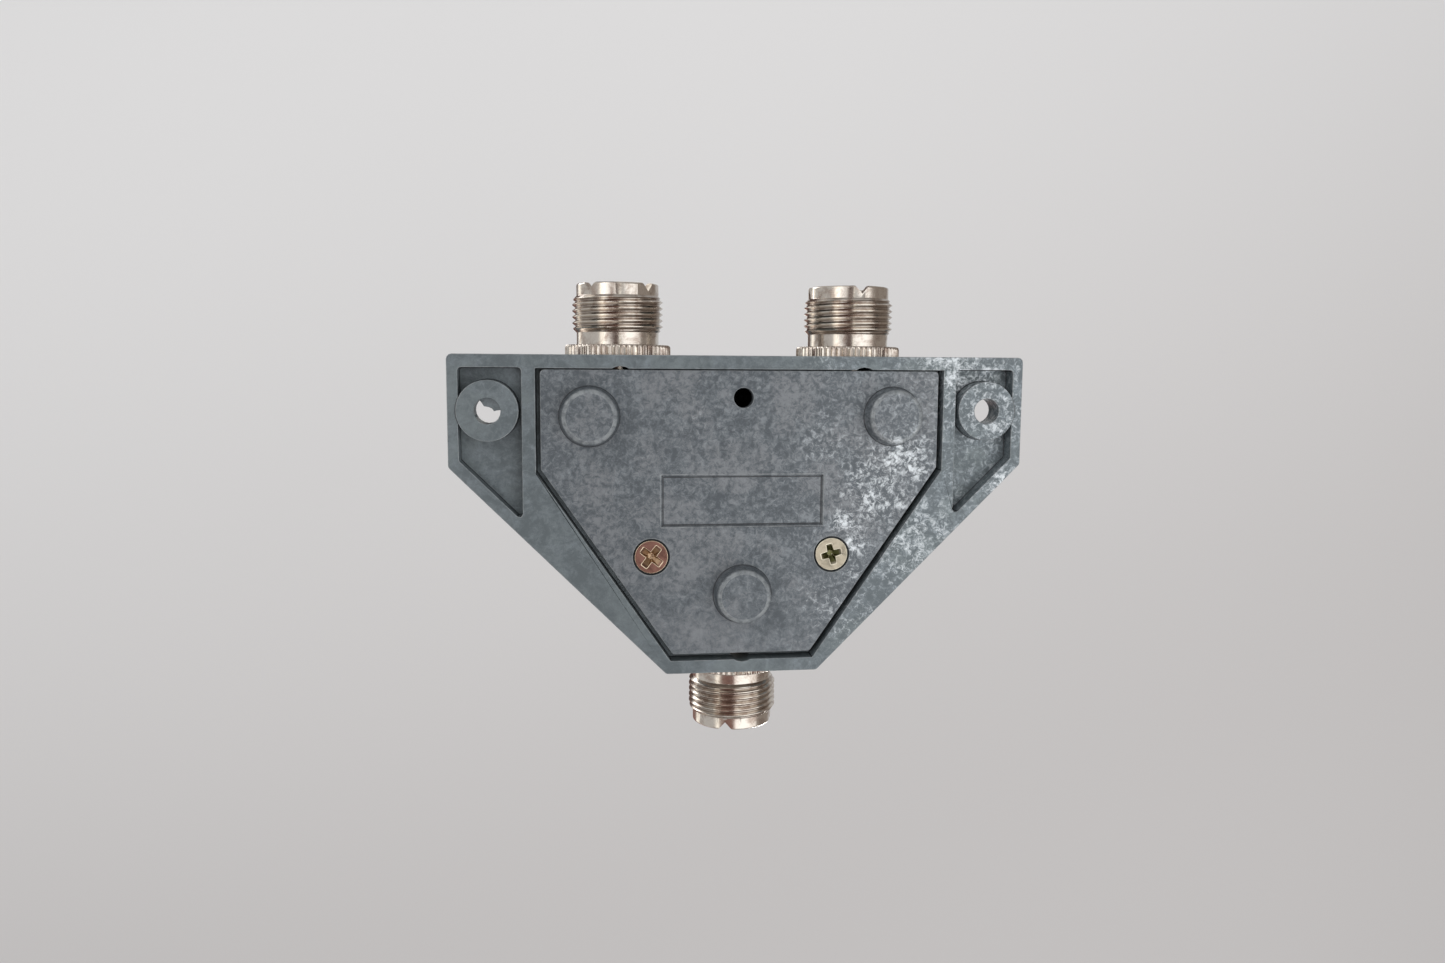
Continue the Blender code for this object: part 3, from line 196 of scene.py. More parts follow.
def rubbed_and_glinting_places(tree, vector, places):
    """Soft ragged areas, each given as a place on the back, its radius and how bare it is rubbed, which is
    also how bright its painted glints are.
    """
    ragged = between(tree, noise(tree, vector, RAGGED_SCALE), *RAGGED_RANGE)
    total = 0.0
    for x, y, radius, strength in places:
        away = add(tree, "VectorMath", {0: vector, 1: (x, y, BACK_PLANE)},
                   operation='DISTANCE').outputs["Value"]
        inside = maths(tree, 'MULTIPLY', between(tree, away, radius, radius * 0.15), strength)
        total = maths(tree, 'MAXIMUM', inside, total)
    behind = between(tree, add(tree, "SeparateXYZ", {0: vector}).outputs["Z"], *RUB_AND_GLINT_DEPTHS)
    ragged = maths(tree, 'ADD', maths(tree, 'MULTIPLY', ragged, 0.65), 0.35)
    return maths(tree, 'MULTIPLY', maths(tree, 'MULTIPLY', total, ragged), behind)


LIT_AND_HANDLED_HALF = (6 * MM, -40 * MM)           # a casting gets barer, and paler with painted light, along X to output 1
SIDE_RUB_AND_GLINT = 0.42
SIDE_PAINTED_LIGHT = 0.30
HANDLED_MOTTLING = 1.15
MOTTLED_ALONG = (-20 * MM, -4 * MM)         # the mottling grows along Y, from the common socket
TOE_MOTTLING = 0.35                         # its share at the toe
SHADED_ACROSS = (2 * MM, 24 * MM)           # painted shade: a little darker towards +X and the common socket
SHADED_ALONG = (16 * MM, -12 * MM)
PAINTED_SHADE_DARKER = 0.18
CHIPPED_SCALE = 900.0
CHIPPED_RANGE = (0.35, 0.65)
CHIPPED_EDGE = 0.6
BARE_EDGE = 0.2
DIRT_AND_SHADE_EDGE = 0.8
ZINC_ROUGHNESS = (0.60, 0.42)               # of the dark tone and of the light one
ZINC_METALLIC = (0.35, 0.65)                # between the flecks and on them
FLECK_SHINE = 0.12
CRUMPLE_DEPTH = 0.10 * MM


def cast_zinc(name, dark, light, tinged, patch_scale, mottling, rub_and_glint):
    """Dull zinc: bare with a painted highlight on its worn edges, dirty with painted shade in its inner ones,
    and paler with painted light on its handled half.
    """
    material, tree, shader = new_material(name, IOR=1.5)
    where = add(tree, "TexCoord").outputs["Object"]
    place = add(tree, "SeparateXYZ", {0: where}).outputs
    side = between(tree, place["X"], *LIT_AND_HANDLED_HALF)
    upper = remapped(tree, place["Y"], mottling * TOE_MOTTLING, mottling, *MOTTLED_ALONG)
    worn_and_glinting = maths(tree, 'ADD', maths(tree, 'MULTIPLY', side, SIDE_RUB_AND_GLINT),
                 rubbed_and_glinting_places(tree, where, rub_and_glint))
    mottled = maths(tree, 'ADD', maths(tree, 'MULTIPLY', side, HANDLED_MOTTLING), upper)
    skin = use(tree, CAST_SKIN, {"Vector": where, "Patch Scale": patch_scale, "Mottling": mottled,
                                 "Rubbed And Glinting": worn_and_glinting})
    # painted light and shade: paler along X towards output 1, darker towards +X and the common socket
    shade = maths(tree, 'MULTIPLY', between(tree, place["X"], *SHADED_ACROSS),
                  between(tree, place["Y"], *SHADED_ALONG))
    painted_light_and_shade = maths(tree, 'SUBTRACT', maths(tree, 'MULTIPLY', side, SIDE_PAINTED_LIGHT),
                maths(tree, 'MULTIPLY', shade, PAINTED_SHADE_DARKER))
    tone = maths(tree, 'ADD', skin["Tone"], painted_light_and_shade, True)
    colour = blended(tree, tone, dark, blended(tree, skin["Cloud"], light, tinged))
    edge = add(tree, "Attribute", attribute_name="cast_edge").outputs["Fac"]
    chipped = between(tree, noise(tree, where, CHIPPED_SCALE, detail=3.0), *CHIPPED_RANGE)
    chipped = maths(tree, 'ADD', maths(tree, 'MULTIPLY', chipped, CHIPPED_EDGE), BARE_EDGE)
    # outer edges paler: bare worn zinc with a painted edge highlight
    bare_and_highlit = maths(tree, 'MULTIPLY', edge, chipped, True)
    colour = blended(tree, bare_and_highlit, colour, ZINC_WORN_HIGHLIT)
    # flecks of bare zinc, partly painted glints
    colour = blended(tree, skin["Flecks"], colour, ZINC_BARE_GLINT)
    # inner edges darkened: dirt and painted shade
    colour = blended(tree, maths(tree, 'MULTIPLY', edge, -DIRT_AND_SHADE_EDGE, True), colour, ZINC_DIRT_AND_SHADE)
    tree.links.new(colour, shader["Base Color"])
    rough = remapped(tree, tone, *ZINC_ROUGHNESS)
    tree.links.new(maths(tree, 'SUBTRACT', rough, maths(tree, 'MULTIPLY', skin["Flecks"], FLECK_SHINE)),
                   shader["Roughness"])
    tree.links.new(remapped(tree, skin["Flecks"], *ZINC_METALLIC), shader["Metallic"])
    bump(tree, shader, skin["Height"], CRUMPLE_DEPTH, 0.55)
    return material


def merged_copy(node):
    """A copy of a model node's mesh, with its loose triangles merged into whole flat faces."""
    bm = bmesh.new()
    bm.from_mesh(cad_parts[node].data)
    bmesh.ops.remove_doubles(bm, verts=bm.verts, dist=SAME_POINT)
    bmesh.ops.dissolve_limit(bm, angle_limit=FLAT_ANGLE, use_dissolve_boundaries=False,
                             verts=bm.verts, edges=bm.edges, delimit=set())
    return bm


def mark_wear_and_shade(bm, faces, amount):
    """Note on faces how bare they are worn, with a painted highlight, from 1 down to -1 for full dirt with
    painted shade.
    """
    layers = bm.loops.layers.float
    mark = layers.get("cast_edge") or layers.new("cast_edge")
    for face in faces:
        for corner in face.loops:
            corner[mark] = amount


def soften(bm, width, wanted=lambda edge: True, steps=2):
    """Round the sharp edges that are wanted: inner ones are marked as dirty with painted shade, outer ones as
    worn with a painted highlight.
    """
    mark_wear_and_shade(bm, (), 0.0)
    for inner in (True, False):
        chosen = [edge for edge in bm.edges if edge.is_manifold and wanted(edge)
                  and edge.calc_face_angle(0) > CAST_SHARP_ANGLE
                  and (edge.calc_face_angle_signed(0) < 0) == inner]
        rounds = bmesh.ops.bevel(bm, geom=chosen, offset=width, offset_type='OFFSET', segments=steps,
                                 profile=0.5, affect='EDGES', clamp_overlap=False, material=-1)["faces"]
        mark_wear_and_shade(bm, rounds, -1.0 if inner else 1.0)


def mesh_from(name, bm, material=None):
    """Turn finished mesh work into a mesh."""
    mesh = bpy.data.meshes.new(name)
    bm.to_mesh(mesh)
    bm.free()
    if material:
        mesh.materials.append(material)
    return mesh


def shown(name, data):
    """An object of the scene that carries a mesh, a lamp or a camera."""
    thing = bpy.data.objects.new(name, data)
    bpy.context.scene.collection.objects.link(thing)
    return thing


def finished(name, bm, material, slot, body, *stands_for):
    """Make a mesh a piece of the object, in place of the model nodes that it stands for."""
    mesh = mesh_from(name, bm, material)
    mesh.shade_smooth()
    mesh.set_sharp_from_angle(angle=SMOOTH_ANGLE)
    piece = shown(name, mesh)
    piece.modifiers.new("even_normals", 'WEIGHTED_NORMAL').keep_sharp = True
    if stands_for:
        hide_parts(*stands_for)
    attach(piece, body)


# bright places of rubbed zinc and painted glints: place, radius and strength
RUB_AND_GLINT_ON_HOUSING = ((-43 * MM, 18 * MM, 9 * MM, 0.4), (-30 * MM, -6 * MM, 12 * MM, 0.48),
                     (-19 * MM, -18 * MM, 8 * MM, 0.5), (-47 * MM, 4 * MM, 7 * MM, 0.5),
                     (-38 * MM, 26 * MM, 14 * MM, 0.6), (-14 * MM, 26 * MM, 7 * MM, 0.4))

FLASHED_HOLE = (42.7 * MM, 18.35 * MM)
FLASH_REACH = 2.3 * MM
SOFT_EDGES_REACH = 0.2 * MM     # past the front of the ears


def clear_of_thin_parts(edge):
    """Whether an edge lies no further forward than the ears, and off the torn flash in one hole."""
    return all(vert.co.z < FRONT_OF_EARS + SOFT_EDGES_REACH and
               math.hypot(vert.co.x - FLASHED_HOLE[0], vert.co.y - FLASHED_HOLE[1]) > FLASH_REACH
               for vert in edge.verts)


housing_zinc = cast_zinc("cast_zinc_housing", HOUSING_DARK, HOUSING_LIGHT, HOUSING_TINGED,
                         HOUSING_PATCH_SCALE, HOUSING_MOTTLING, RUB_AND_GLINT_ON_HOUSING)
casting = merged_copy("housing")
soften(casting, CAST_EDGE_ROUND, clear_of_thin_parts)
finished("housing_casting", casting, housing_zinc, "casting", "case", "housing")

# Sockets
# Three chassis sockets turned from brass and nickel-plated: a knurled ring against the wall, a
# plain neck, a 5/8-24 thread and a lip with four notches, held by a nut inside the housing.
SOCKET_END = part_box("socket_body_1")[1].y
SOCKET_LENGTH = 12.7 * MM       # wall to the end of the lip
RING_BACK = 0.3 * MM
RING_FRONT = 2.1 * MM
RING_RADIUS = 9.3 * MM
RING_ROUND = 0.55 * MM
KNURL_TEETH = 60
KNURL_STEPS = 6                 # to each tooth
KNURL_DEPTH = 0.36 * MM
KNURL_SHARPNESS = 1.3
THREAD_START = 4.2 * MM
THREAD_END = 10.6 * MM
THREAD_RADIUS = 7.94 * MM
THREAD_PITCH = 25.4 / 24 * MM
THREAD_DEPTH = 0.54 * MM
PLAIN_RADIUS = 7.2 * MM         # of the neck and the lip
LIP_ROUND = 0.35 * MM
MOUTH_RADIUS = 5.8 * MM
MOUTH_CHAMFER = 0.25 * MM
MOUTH_FLOOR = 5.3 * MM
BORE_RADIUS = 4.6 * MM
TAIL_RADIUS = 6.2 * MM
TAIL_END = -6.2 * MM
NOTCH_WIDTH = 2.6 * MM
NOTCH_DEPTH = 1.45 * MM
NOTCH_CUTTER_REACH = 0.1        # of its depth, past the end of the lip
NOTCH_TURNS = {"1": math.radians(96), "2": math.radians(135), "common": math.radians(-73)}
ROUND_STEPS = 96
NICKEL = (0.64, 0.595, 0.54, 1)
NICKEL_DULL = (0.37, 0.295, 0.25, 1)
NICKEL_VALLEY_DIRT_AND_SHADE = (0.13, 0.085, 0.065, 1)
NUT_BROWN = (0.060, 0.042, 0.035, 1)
NUT_GRIME = (0.030, 0.022, 0.019, 1)
NICKEL_ROUGHNESS = 0.17
NUT_ROUGHNESS = 0.5
LATHE_SCALE = 5200.0
LATHE_DEPTH = 0.012 * MM
STAIN_SCALE = 420.0
STAIN_RANGE = (0.42, 0.72)
VALLEY_DIRT_AND_SHADE = 0.4
VALLEY_EDGE = 0.1 * MM          # over which the dirt and painted shade set in at the ends of a thread


def turned_marks():
    """Fine rings that a lathe leaves round the Z axis, on barrels and on faces alike."""
    tree, given, out = effect("turned_marks", (("Vector", "Vector"), ("Scale", "Float")),
                              ("Rings", "Stain", "Radius", "Height"))
    parts = add(tree, "SeparateXYZ", {0: given["Vector"]}).outputs
    radius = maths(tree, 'SQRT', maths(tree, 'ADD', maths(tree, 'MULTIPLY', parts["X"], parts["X"]),
                                       maths(tree, 'MULTIPLY', parts["Y"], parts["Y"])))
    drift = maths(tree, 'MULTIPLY', parts["X"], 0.01)
    along = add(tree, "CombineXYZ", {"X": radius, "Y": parts["Z"], "Z": drift}).outputs[0]
    tree.links.new(noise(tree, along, given["Scale"], detail=3.0, roughness=0.7), out["Rings"])
    tree.links.new(noise(tree, given["Vector"], STAIN_SCALE, detail=5.0, roughness=0.65, distortion=0.5),
                   out["Stain"])
    tree.links.new(radius, out["Radius"])
    tree.links.new(parts["Z"], out["Height"])
    return tree


TURNED_MARKS = turned_marks()


def centred(tree, centre, turn=(0, 0, 0)):
    """Object coordinates moved so that a piece's own axis is Z."""
    spot = Euler(turn).to_matrix() @ -Vector(centre)
    return add(tree, "Mapping", {"Vector": add(tree, "TexCoord").outputs["Object"], "Location": spot,
                                 "Rotation": Euler(turn)}).outputs[0]


def turned_metal(name, colour, dull, roughness, centre=(0, 0, 0), turn=(0, 0, 0), valleys=()):
    """Turned and plated metal: fine rings, a thin uneven stain, and dirt with painted shade down in any
    valleys.
    """
    material, tree, shader = new_material(name, Metallic=1.0)
    marks = use(tree, TURNED_MARKS, {"Vector": centred(tree, centre, turn), "Scale": LATHE_SCALE})
    stain = between(tree, marks["Stain"], *STAIN_RANGE)
    tint = blended(tree, stain, colour, dull)
    # painted shade, with dirt, down in the thread's and the knurl's valleys
    for low, high, crest, depth in valleys:
        along = maths(tree, 'MULTIPLY', between(tree, marks["Height"], low, low + VALLEY_EDGE),
                      between(tree, marks["Height"], high, high - VALLEY_EDGE))
        down = between(tree, marks["Radius"], crest - depth * 0.3, crest - depth)
        valley_dark = maths(tree, 'MULTIPLY', maths(tree, 'MULTIPLY', along, down), VALLEY_DIRT_AND_SHADE)
        tint = blended(tree, valley_dark, tint, NICKEL_VALLEY_DIRT_AND_SHADE)
    tree.links.new(tint, shader["Base Color"])
    rough = maths(tree, 'ADD', maths(tree, 'MULTIPLY', marks["Rings"], 0.16), roughness - 0.08)
    tree.links.new(maths(tree, 'ADD', rough, maths(tree, 'MULTIPLY', stain, 0.12)), shader["Roughness"])
    bump(tree, shader, marks["Rings"], LATHE_DEPTH, 0.5)
    return material


def next_ring(bm, ring):
    """Extrude an open round edge, and give its new rim."""
    made = bmesh.ops.extrude_edge_only(bm, edges=ring)["geom"]
    return [edge for edge in made if isinstance(edge, bmesh.types.BMEdge) and edge.is_boundary]


def corners_of(ring):
    return {vert for edge in ring for vert in edge.verts}


def extruded_on(bm, ring, stations):
    """Carry an open round edge on through further (radius, height) stations."""
    for radius, height in stations:
        ring = next_ring(bm, ring)
        for vert in corners_of(ring):
            share = radius / math.hypot(vert.co.x, vert.co.y)
            vert.co = (vert.co.x * share, vert.co.y * share, height)
    return ring


def quarter_round(radius, height, size, steps=4):
    """Stations of a rounded outer edge, which ends at the given radius and height."""
    return [(radius - size * (1 - math.cos(step / steps * math.pi / 2)),
             height - size * (1 - math.sin(step / steps * math.pi / 2))) for step in range(steps + 1)]


def threaded_band(low, high):
    """A helical V thread, cut off flat at both ends and chamfered there."""
    bm = bmesh.new()
    flat = THREAD_PITCH / 8
    flank = (THREAD_PITCH - 2 * flat) / 2
    root = THREAD_RADIUS - THREAD_DEPTH
    turns = math.ceil((high - low) / THREAD_PITCH) + 3
    points = []
    for turn in range(turns):
        level = low + (turn - 2) * THREAD_PITCH
        rises = [(root, 0.0), (root, flat)]
        rises += [(root + THREAD_DEPTH * step / 4, flat + flank * step / 4) for step in (1, 2, 3)]
        rises += [(THREAD_RADIUS, flat + flank), (THREAD_RADIUS, 2 * flat + flank)]
        rises += [(THREAD_RADIUS - THREAD_DEPTH * step / 4, 2 * flat + flank + flank * step / 4)
                  for step in (1, 2, 3)]
        points += [bm.verts.new((radius, 0, level + rise)) for radius, rise in rises]
    edges = [bm.edges.new(pair) for pair in zip(points, points[1:])]
    bmesh.ops.spin(bm, geom=points + edges, cent=(0, 0, 0), axis=(0, 0, 1),
                   dvec=(0, 0, THREAD_PITCH / ROUND_STEPS), angle=math.tau, steps=ROUND_STEPS,
                   use_merge=False)
    bmesh.ops.remove_doubles(bm, verts=bm.verts, dist=SAME_POINT)
    for level, up in ((low, False), (high, True)):
        bmesh.ops.bisect_plane(bm, geom=bm.verts[:] + bm.edges[:] + bm.faces[:], dist=1e-7,
                               plane_co=(0, 0, level), plane_no=(0, 0, 1), clear_outer=up,
                               clear_inner=not up)
    for vert in bm.verts:
        radius = math.hypot(vert.co.x, vert.co.y)
        allowed = PLAIN_RADIUS + min(vert.co.z - low, high - vert.co.z)
        if radius > allowed:
            vert.co.x *= allowed / radius
            vert.co.y *= allowed / radius
    return bm


def knurled_ring():
    """Straight teeth round a ring whose front edge is turned round."""
    bm = bmesh.new()
    bmesh.ops.create_circle(bm, segments=KNURL_TEETH * KNURL_STEPS, radius=RING_RADIUS)
    stations = [(RING_RADIUS, RING_BACK), (RING_RADIUS, RING_FRONT - RING_ROUND)]
    stations += quarter_round(RING_RADIUS, RING_FRONT, RING_ROUND)[1:]
    ring = list(bm.edges)
    for limit, height in stations:
        if height > RING_BACK:
            ring = next_ring(bm, ring)
        for vert in corners_of(ring):
            angle = math.atan2(vert.co.y, vert.co.x)
            tooth = RING_RADIUS - KNURL_DEPTH * abs(math.sin(KNURL_TEETH * angle / 2)) ** KNURL_SHARPNESS
            radius = min(tooth, limit)
            vert.co = (radius * math.cos(angle), radius * math.sin(angle), height)
    bmesh.ops.holes_fill(bm, edges=bm.edges, sides=0)
    bmesh.ops.recalc_face_normals(bm, faces=bm.faces)
    return bm


def slab(outline, low, high):
    """A closed block on a flat outline of (x, y) points."""
    bm = bmesh.new()
    face = bm.faces.new([bm.verts.new((x, y, low)) for x, y in outline])
    made = bmesh.ops.extrude_face_region(bm, geom=[face])["geom"]
    top = [vert for vert in made if isinstance(vert, bmesh.types.BMVert)]
    bmesh.ops.translate(bm, vec=(0, 0, high - low), verts=top)
    bmesh.ops.recalc_face_normals(bm, faces=bm.faces)
    return bm


def combined(bm, operation, tools):
    """Join closed meshes to another one, or cut them out of it."""
    things = [shown("in_work", mesh_from("in_work", work)) for work in (bm, *tools)]
    for tool in things[1:]:
        step = things[0].modifiers.new("step", 'BOOLEAN')
        step.operation = operation
        step.object = tool
        step.solver = 'EXACT'
    bpy.context.view_layer.update()
    result = bmesh.new()
    result.from_object(things[0], bpy.context.evaluated_depsgraph_get())
    for thing in things:
        bpy.data.objects.remove(thing)
    return result


def socket_shell(turn):
    """Body of a socket along its own Z axis, from the tail in the housing to the notched lip."""
    bm = threaded_band(THREAD_START, THREAD_END)
    boundary = [edge for edge in bm.edges if edge.is_boundary]
    halfway = (THREAD_START + THREAD_END) / 2
    back = [edge for edge in boundary if edge.verts[0].co.z < halfway]
    front = [edge for edge in boundary if edge.verts[0].co.z > halfway]
    middle = (RING_BACK + RING_FRONT) / 2
    back = extruded_on(bm, back, [(PLAIN_RADIUS, middle), (TAIL_RADIUS, middle), (TAIL_RADIUS, TAIL_END)])
    front = extruded_on(bm, front, quarter_round(PLAIN_RADIUS, SOCKET_LENGTH, LIP_ROUND)
                        + [(MOUTH_RADIUS + MOUTH_CHAMFER, SOCKET_LENGTH),
                           (MOUTH_RADIUS, SOCKET_LENGTH - MOUTH_CHAMFER), (MOUTH_RADIUS, MOUTH_FLOOR),
                           (BORE_RADIUS, MOUTH_FLOOR), (BORE_RADIUS, TAIL_END)])
    bmesh.ops.bridge_loops(bm, edges=back + front)
    bmesh.ops.recalc_face_normals(bm, faces=bm.faces)
    bm = combined(bm, 'UNION', [knurled_ring()])
    wedges = []
    half, over = NOTCH_WIDTH / 2 * (1 + NOTCH_CUTTER_REACH), NOTCH_DEPTH * NOTCH_CUTTER_REACH
    for notch in range(4):
        wedge = slab([(-half, over), (0, -NOTCH_DEPTH), (half, over)],
                     MOUTH_RADIUS - MM, PLAIN_RADIUS + MM)
        upright = Matrix.Rotation(math.radians(90), 4, 'Z') @ Matrix.Rotation(math.radians(90), 4, 'X')
        spin = Matrix.Rotation(turn + math.tau * notch / 4, 4, 'Z')
        bmesh.ops.transform(wedge, matrix=Matrix.Translation((0, 0, SOCKET_LENGTH)) @ spin @ upright,
                            verts=wedge.verts)
        wedges.append(wedge)
    return combined(bm, 'DIFFERENCE', wedges)


# Insulator and centre contact of a socket
# An off-white moulded bush in each mouth, and in it a silvered tube that is slit in four so that
# it grips the plug's pin, with a cup at its tail that the inner contact is soldered in.
INSULATION_COLOUR = (0.72, 0.69, 0.61, 1)
INSULATION_SHADE = (0.52, 0.48, 0.40, 1)
SILVER = (0.80, 0.77, 0.71, 1)
SILVER_DULL = (0.46, 0.42, 0.35, 1)
INSULATION_ROUGHNESS = 0.42
INSULATION_GRAIN = (3000.0, 0.02 * MM)      # scale and depth
PLASTIC_CLOUD_SCALE = 260.0
PLASTIC_CLOUD_RANGE = (0.40, 0.72)
SILVER_ROUGHNESS = 0.24
INSULATOR_EDGE_ROUND = 0.15 * MM
CONTACT_EDGE_ROUND = 0.06 * MM


def moulded_plastic(name, colour, shade, roughness, grain_scale, grain_depth):
    """Plain moulded plastic with a fine skin and a faint uneven tone."""
    material, tree, shader = new_material(name, IOR=1.48)
    where = add(tree, "TexCoord").outputs["Object"]
    cloud = between(tree, noise(tree, where, PLASTIC_CLOUD_SCALE), *PLASTIC_CLOUD_RANGE)
    tree.links.new(blended(tree, cloud, colour, shade), shader["Base Color"])
    grain = noise(tree, where, grain_scale, detail=3.0, roughness=0.55)
    tree.links.new(maths(tree, 'ADD', maths(tree, 'MULTIPLY', grain, 0.2), roughness - 0.1),
                   shader["Roughness"])
    bump(tree, shader, grain, grain_depth, 0.5)
    return material


def refinish(node, material):
    """Give a model node that keeps its shape a better material."""
    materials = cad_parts[node].data.materials
    materials.clear()
    materials.append(material)


insulation = moulded_plastic("moulded_insulation", INSULATION_COLOUR, INSULATION_SHADE,
                             INSULATION_ROUGHNESS, *INSULATION_GRAIN)
for node in ("socket_insulator_1", "socket_insulator_2", "socket_insulator_common"):
    bush = merged_copy(node)
    soften(bush, INSULATOR_EDGE_ROUND)
    finished(node.replace("socket_", "moulded_"), bush, insulation, "insulation", "case", node)

for label in ("1", "2", "common"):
    low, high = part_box("socket_contact_" + label)
    outward = -1 if label == "common" else 1
    middle = Vector(((low.x + high.x) / 2, 0, (low.z + high.z) / 2))
    facing = (math.radians(90 * outward), 0, 0)
    wall = SOCKET_END - SOCKET_LENGTH
    nickel = turned_metal("nickel_plate_" + label, NICKEL, NICKEL_DULL, NICKEL_ROUGHNESS, middle, facing, (
        (wall, wall + RING_FRONT + VALLEY_EDGE, RING_RADIUS, KNURL_DEPTH),
        (wall + THREAD_START, wall + THREAD_END, THREAD_RADIUS, THREAD_DEPTH)))
    grimy = turned_metal("grimy_nut_" + label, NUT_BROWN, NUT_GRIME, NUT_ROUGHNESS, middle, facing)
    silver = turned_metal("silver_plate_" + label, SILVER, SILVER_DULL, SILVER_ROUGHNESS, middle, facing)
    shell = socket_shell(NOTCH_TURNS[label])
    stand = Matrix.Translation(middle + Vector((0, outward * wall, 0)))
    bmesh.ops.transform(shell, matrix=stand @ Matrix.Rotation(math.radians(-90 * outward), 4, 'X'),
                        verts=shell.verts)
    finished("threaded_socket_" + label, shell, nickel, "nickel_plate", "case", "socket_body_" + label)
    tube = merged_copy("socket_contact_" + label)
    soften(tube, CONTACT_EDGE_ROUND)
    finished("split_contact_" + label, tube, silver, "contact_metal", "case", "socket_contact_" + label)
    refinish("socket_nut_" + label, grimy)
    refinish("fixed_contact_" + label, silver)

# Switch works
# The shaft, its bushing, nut and washer, and the detent, rotor and blades that turn with it
# inside the housing: turned and stamped steel and brass, and an insulating disc.
STEEL = (0.50, 0.50, 0.51, 1)
STEEL_DULL = (0.33, 0.32, 0.31, 1)
BRASS = (0.66, 0.46, 0.19, 1)
BRASS_DULL = (0.42, 0.28, 0.12, 1)

steel = turned_metal("turned_steel", STEEL, STEEL_DULL, roughness=0.32)
brass = turned_metal("turned_brass", BRASS, BRASS_DULL, roughness=0.28)
plated = turned_metal("plated_nut", NICKEL, NICKEL_DULL, roughness=0.22)
silvered = turned_metal("silvered_blade", SILVER, SILVER_DULL, roughness=0.26)
for metal, nodes in ((steel, ("shaft", "bushing_washer", "detent_wheel", "detent_spring", "retaining_clip",
                              "knob_grub_screw")),
                     (brass, ("shaft_bushing", "ground_plate", "knob_insert")),
                     (plated, ("bushing_nut",)), (silvered, ("contact_blade",)),
                     (insulation, ("rotor_disc",))):
    for node in nodes:
        refinish(node, metal)

# Back cover
# A second zinc casting that drops into the housing's back: three round feet, a shallow blank
# recess for a label, a plain hole and two countersinks. Handling has rubbed it bright in places,
# and painted glints brighten the same places.
COVER_DARK = (0.085, 0.099, 0.113, 1)
COVER_LIGHT = (0.205, 0.228, 0.248, 1)
COVER_TINGED = (0.199, 0.214, 0.230, 1)
# bright places of rubbed zinc and painted glints: place, radius and strength
RUB_AND_GLINT_ON_COVER = ((-28 * MM, 10 * MM, 7.5 * MM, 0.78), (-21.5 * MM, 3.5 * MM, 6.5 * MM, 0.75),
                   (-18.5 * MM, -1 * MM, 5 * MM, 0.8), (-24 * MM, 6 * MM, 12 * MM, 0.55),
                   (-19.5 * MM, -5 * MM, 4.5 * MM, 0.7), (-19 * MM, -10.5 * MM, 3.5 * MM, 0.45),
                   (-15 * MM, -16 * MM, 8 * MM, 0.4), (-14 * MM, 13 * MM, 8 * MM, 0.35),
                   (9 * MM, 16.5 * MM, 7 * MM, 0.25), (17 * MM, 9 * MM, 6 * MM, 0.2))
COVER_PATCH_SCALE = 480.0
COVER_MOTTLING = 1.1
FOOT_EDGE_ROUND = 0.4 * MM
FOOT_STEPS = 4
FOOT_ENDS = 0.1 * MM            # the end faces of the feet lie below this
LEVEL_PLAY = 0.02 * MM          # within which corners count as on one plane
RIM_PLAY = 0.25 * MM
RIM_LIFT = 0.35 * MM            # it sits high in the housing, so its top groove is the thinnest
RECESS_MIDDLE = Vector((0, 2.65 * MM))
RECESS_FLOOR_Z = 3.15 * MM
RECESS_SLOPE = 0.40 * MM        # how far its walls lean in, down to its floor
RECESS_PAINTED_SHADE = -0.55            # painted shade on its two walls that face +X and +Y


def loosened_rim(bm):
    """Move the outline's walls in, and its top wall out, and give these walls."""
    bm.normal_update()
    upright, one_wall = 0.1, 0.999
    walls = [face for face in bm.faces if abs(face.normal.z) < upright and
             all(face.normal.dot(vert.co - face.verts[0].co) < LEVEL_PLAY for vert in bm.verts)]
    moves = {}
    for vert in {vert for face in walls for vert in face.verts}:
        normals = [face.normal for face in vert.link_faces if face in walls]
        first, other = normals[0], min(normals, key=normals[0].dot)
        shared = first.dot(other)
        steps = [RIM_LIFT * max(0.0, normal.y) - RIM_PLAY for normal in (first, other)]
        if shared > one_wall:
            moves[vert] = first * steps[0]
        else:
            moves[vert] = (first * (steps[0] - steps[1] * shared)
                           + other * (steps[1] - steps[0] * shared)) / (1 - shared ** 2)
    for vert, move in moves.items():
        vert.co += move
    return walls


def leans_to_the_painted_shade(face):
    """Whether a face is a leaning wall that faces +X or +Y, as in the recess and the countersinks."""
    upright, flat, turned = 0.2, 0.95, 0.3
    return upright < abs(face.normal.z) < flat and max(face.normal.xy) > turned


cover_zinc = cast_zinc("cast_zinc_cover", COVER_DARK, COVER_LIGHT, COVER_TINGED, COVER_PATCH_SCALE,
                       COVER_MOTTLING, RUB_AND_GLINT_ON_COVER)
cover = merged_copy("back_cover")
# the walls round the rim are painted fully dark: dirt and painted shade in the groove
mark_wear_and_shade(cover, loosened_rim(cover), -1.0)
for vert in cover.verts:
    if abs(vert.co.z - RECESS_FLOOR_Z) < LEVEL_PLAY:
        away = vert.co.xy - RECESS_MIDDLE
        vert.co.x -= math.copysign(RECESS_SLOPE, away.x)
        vert.co.y -= math.copysign(RECESS_SLOPE, away.y)
cover.normal_update()
mark_wear_and_shade(cover, [face for face in cover.faces if leans_to_the_painted_shade(face)], RECESS_PAINTED_SHADE)
soften(cover, FOOT_EDGE_ROUND, lambda edge: all(vert.co.z < FOOT_ENDS for vert in edge.verts), FOOT_STEPS)
soften(cover, CAST_EDGE_ROUND)
finished("cover_casting", cover, cover_zinc, "cover_casting", "case", "back_cover")

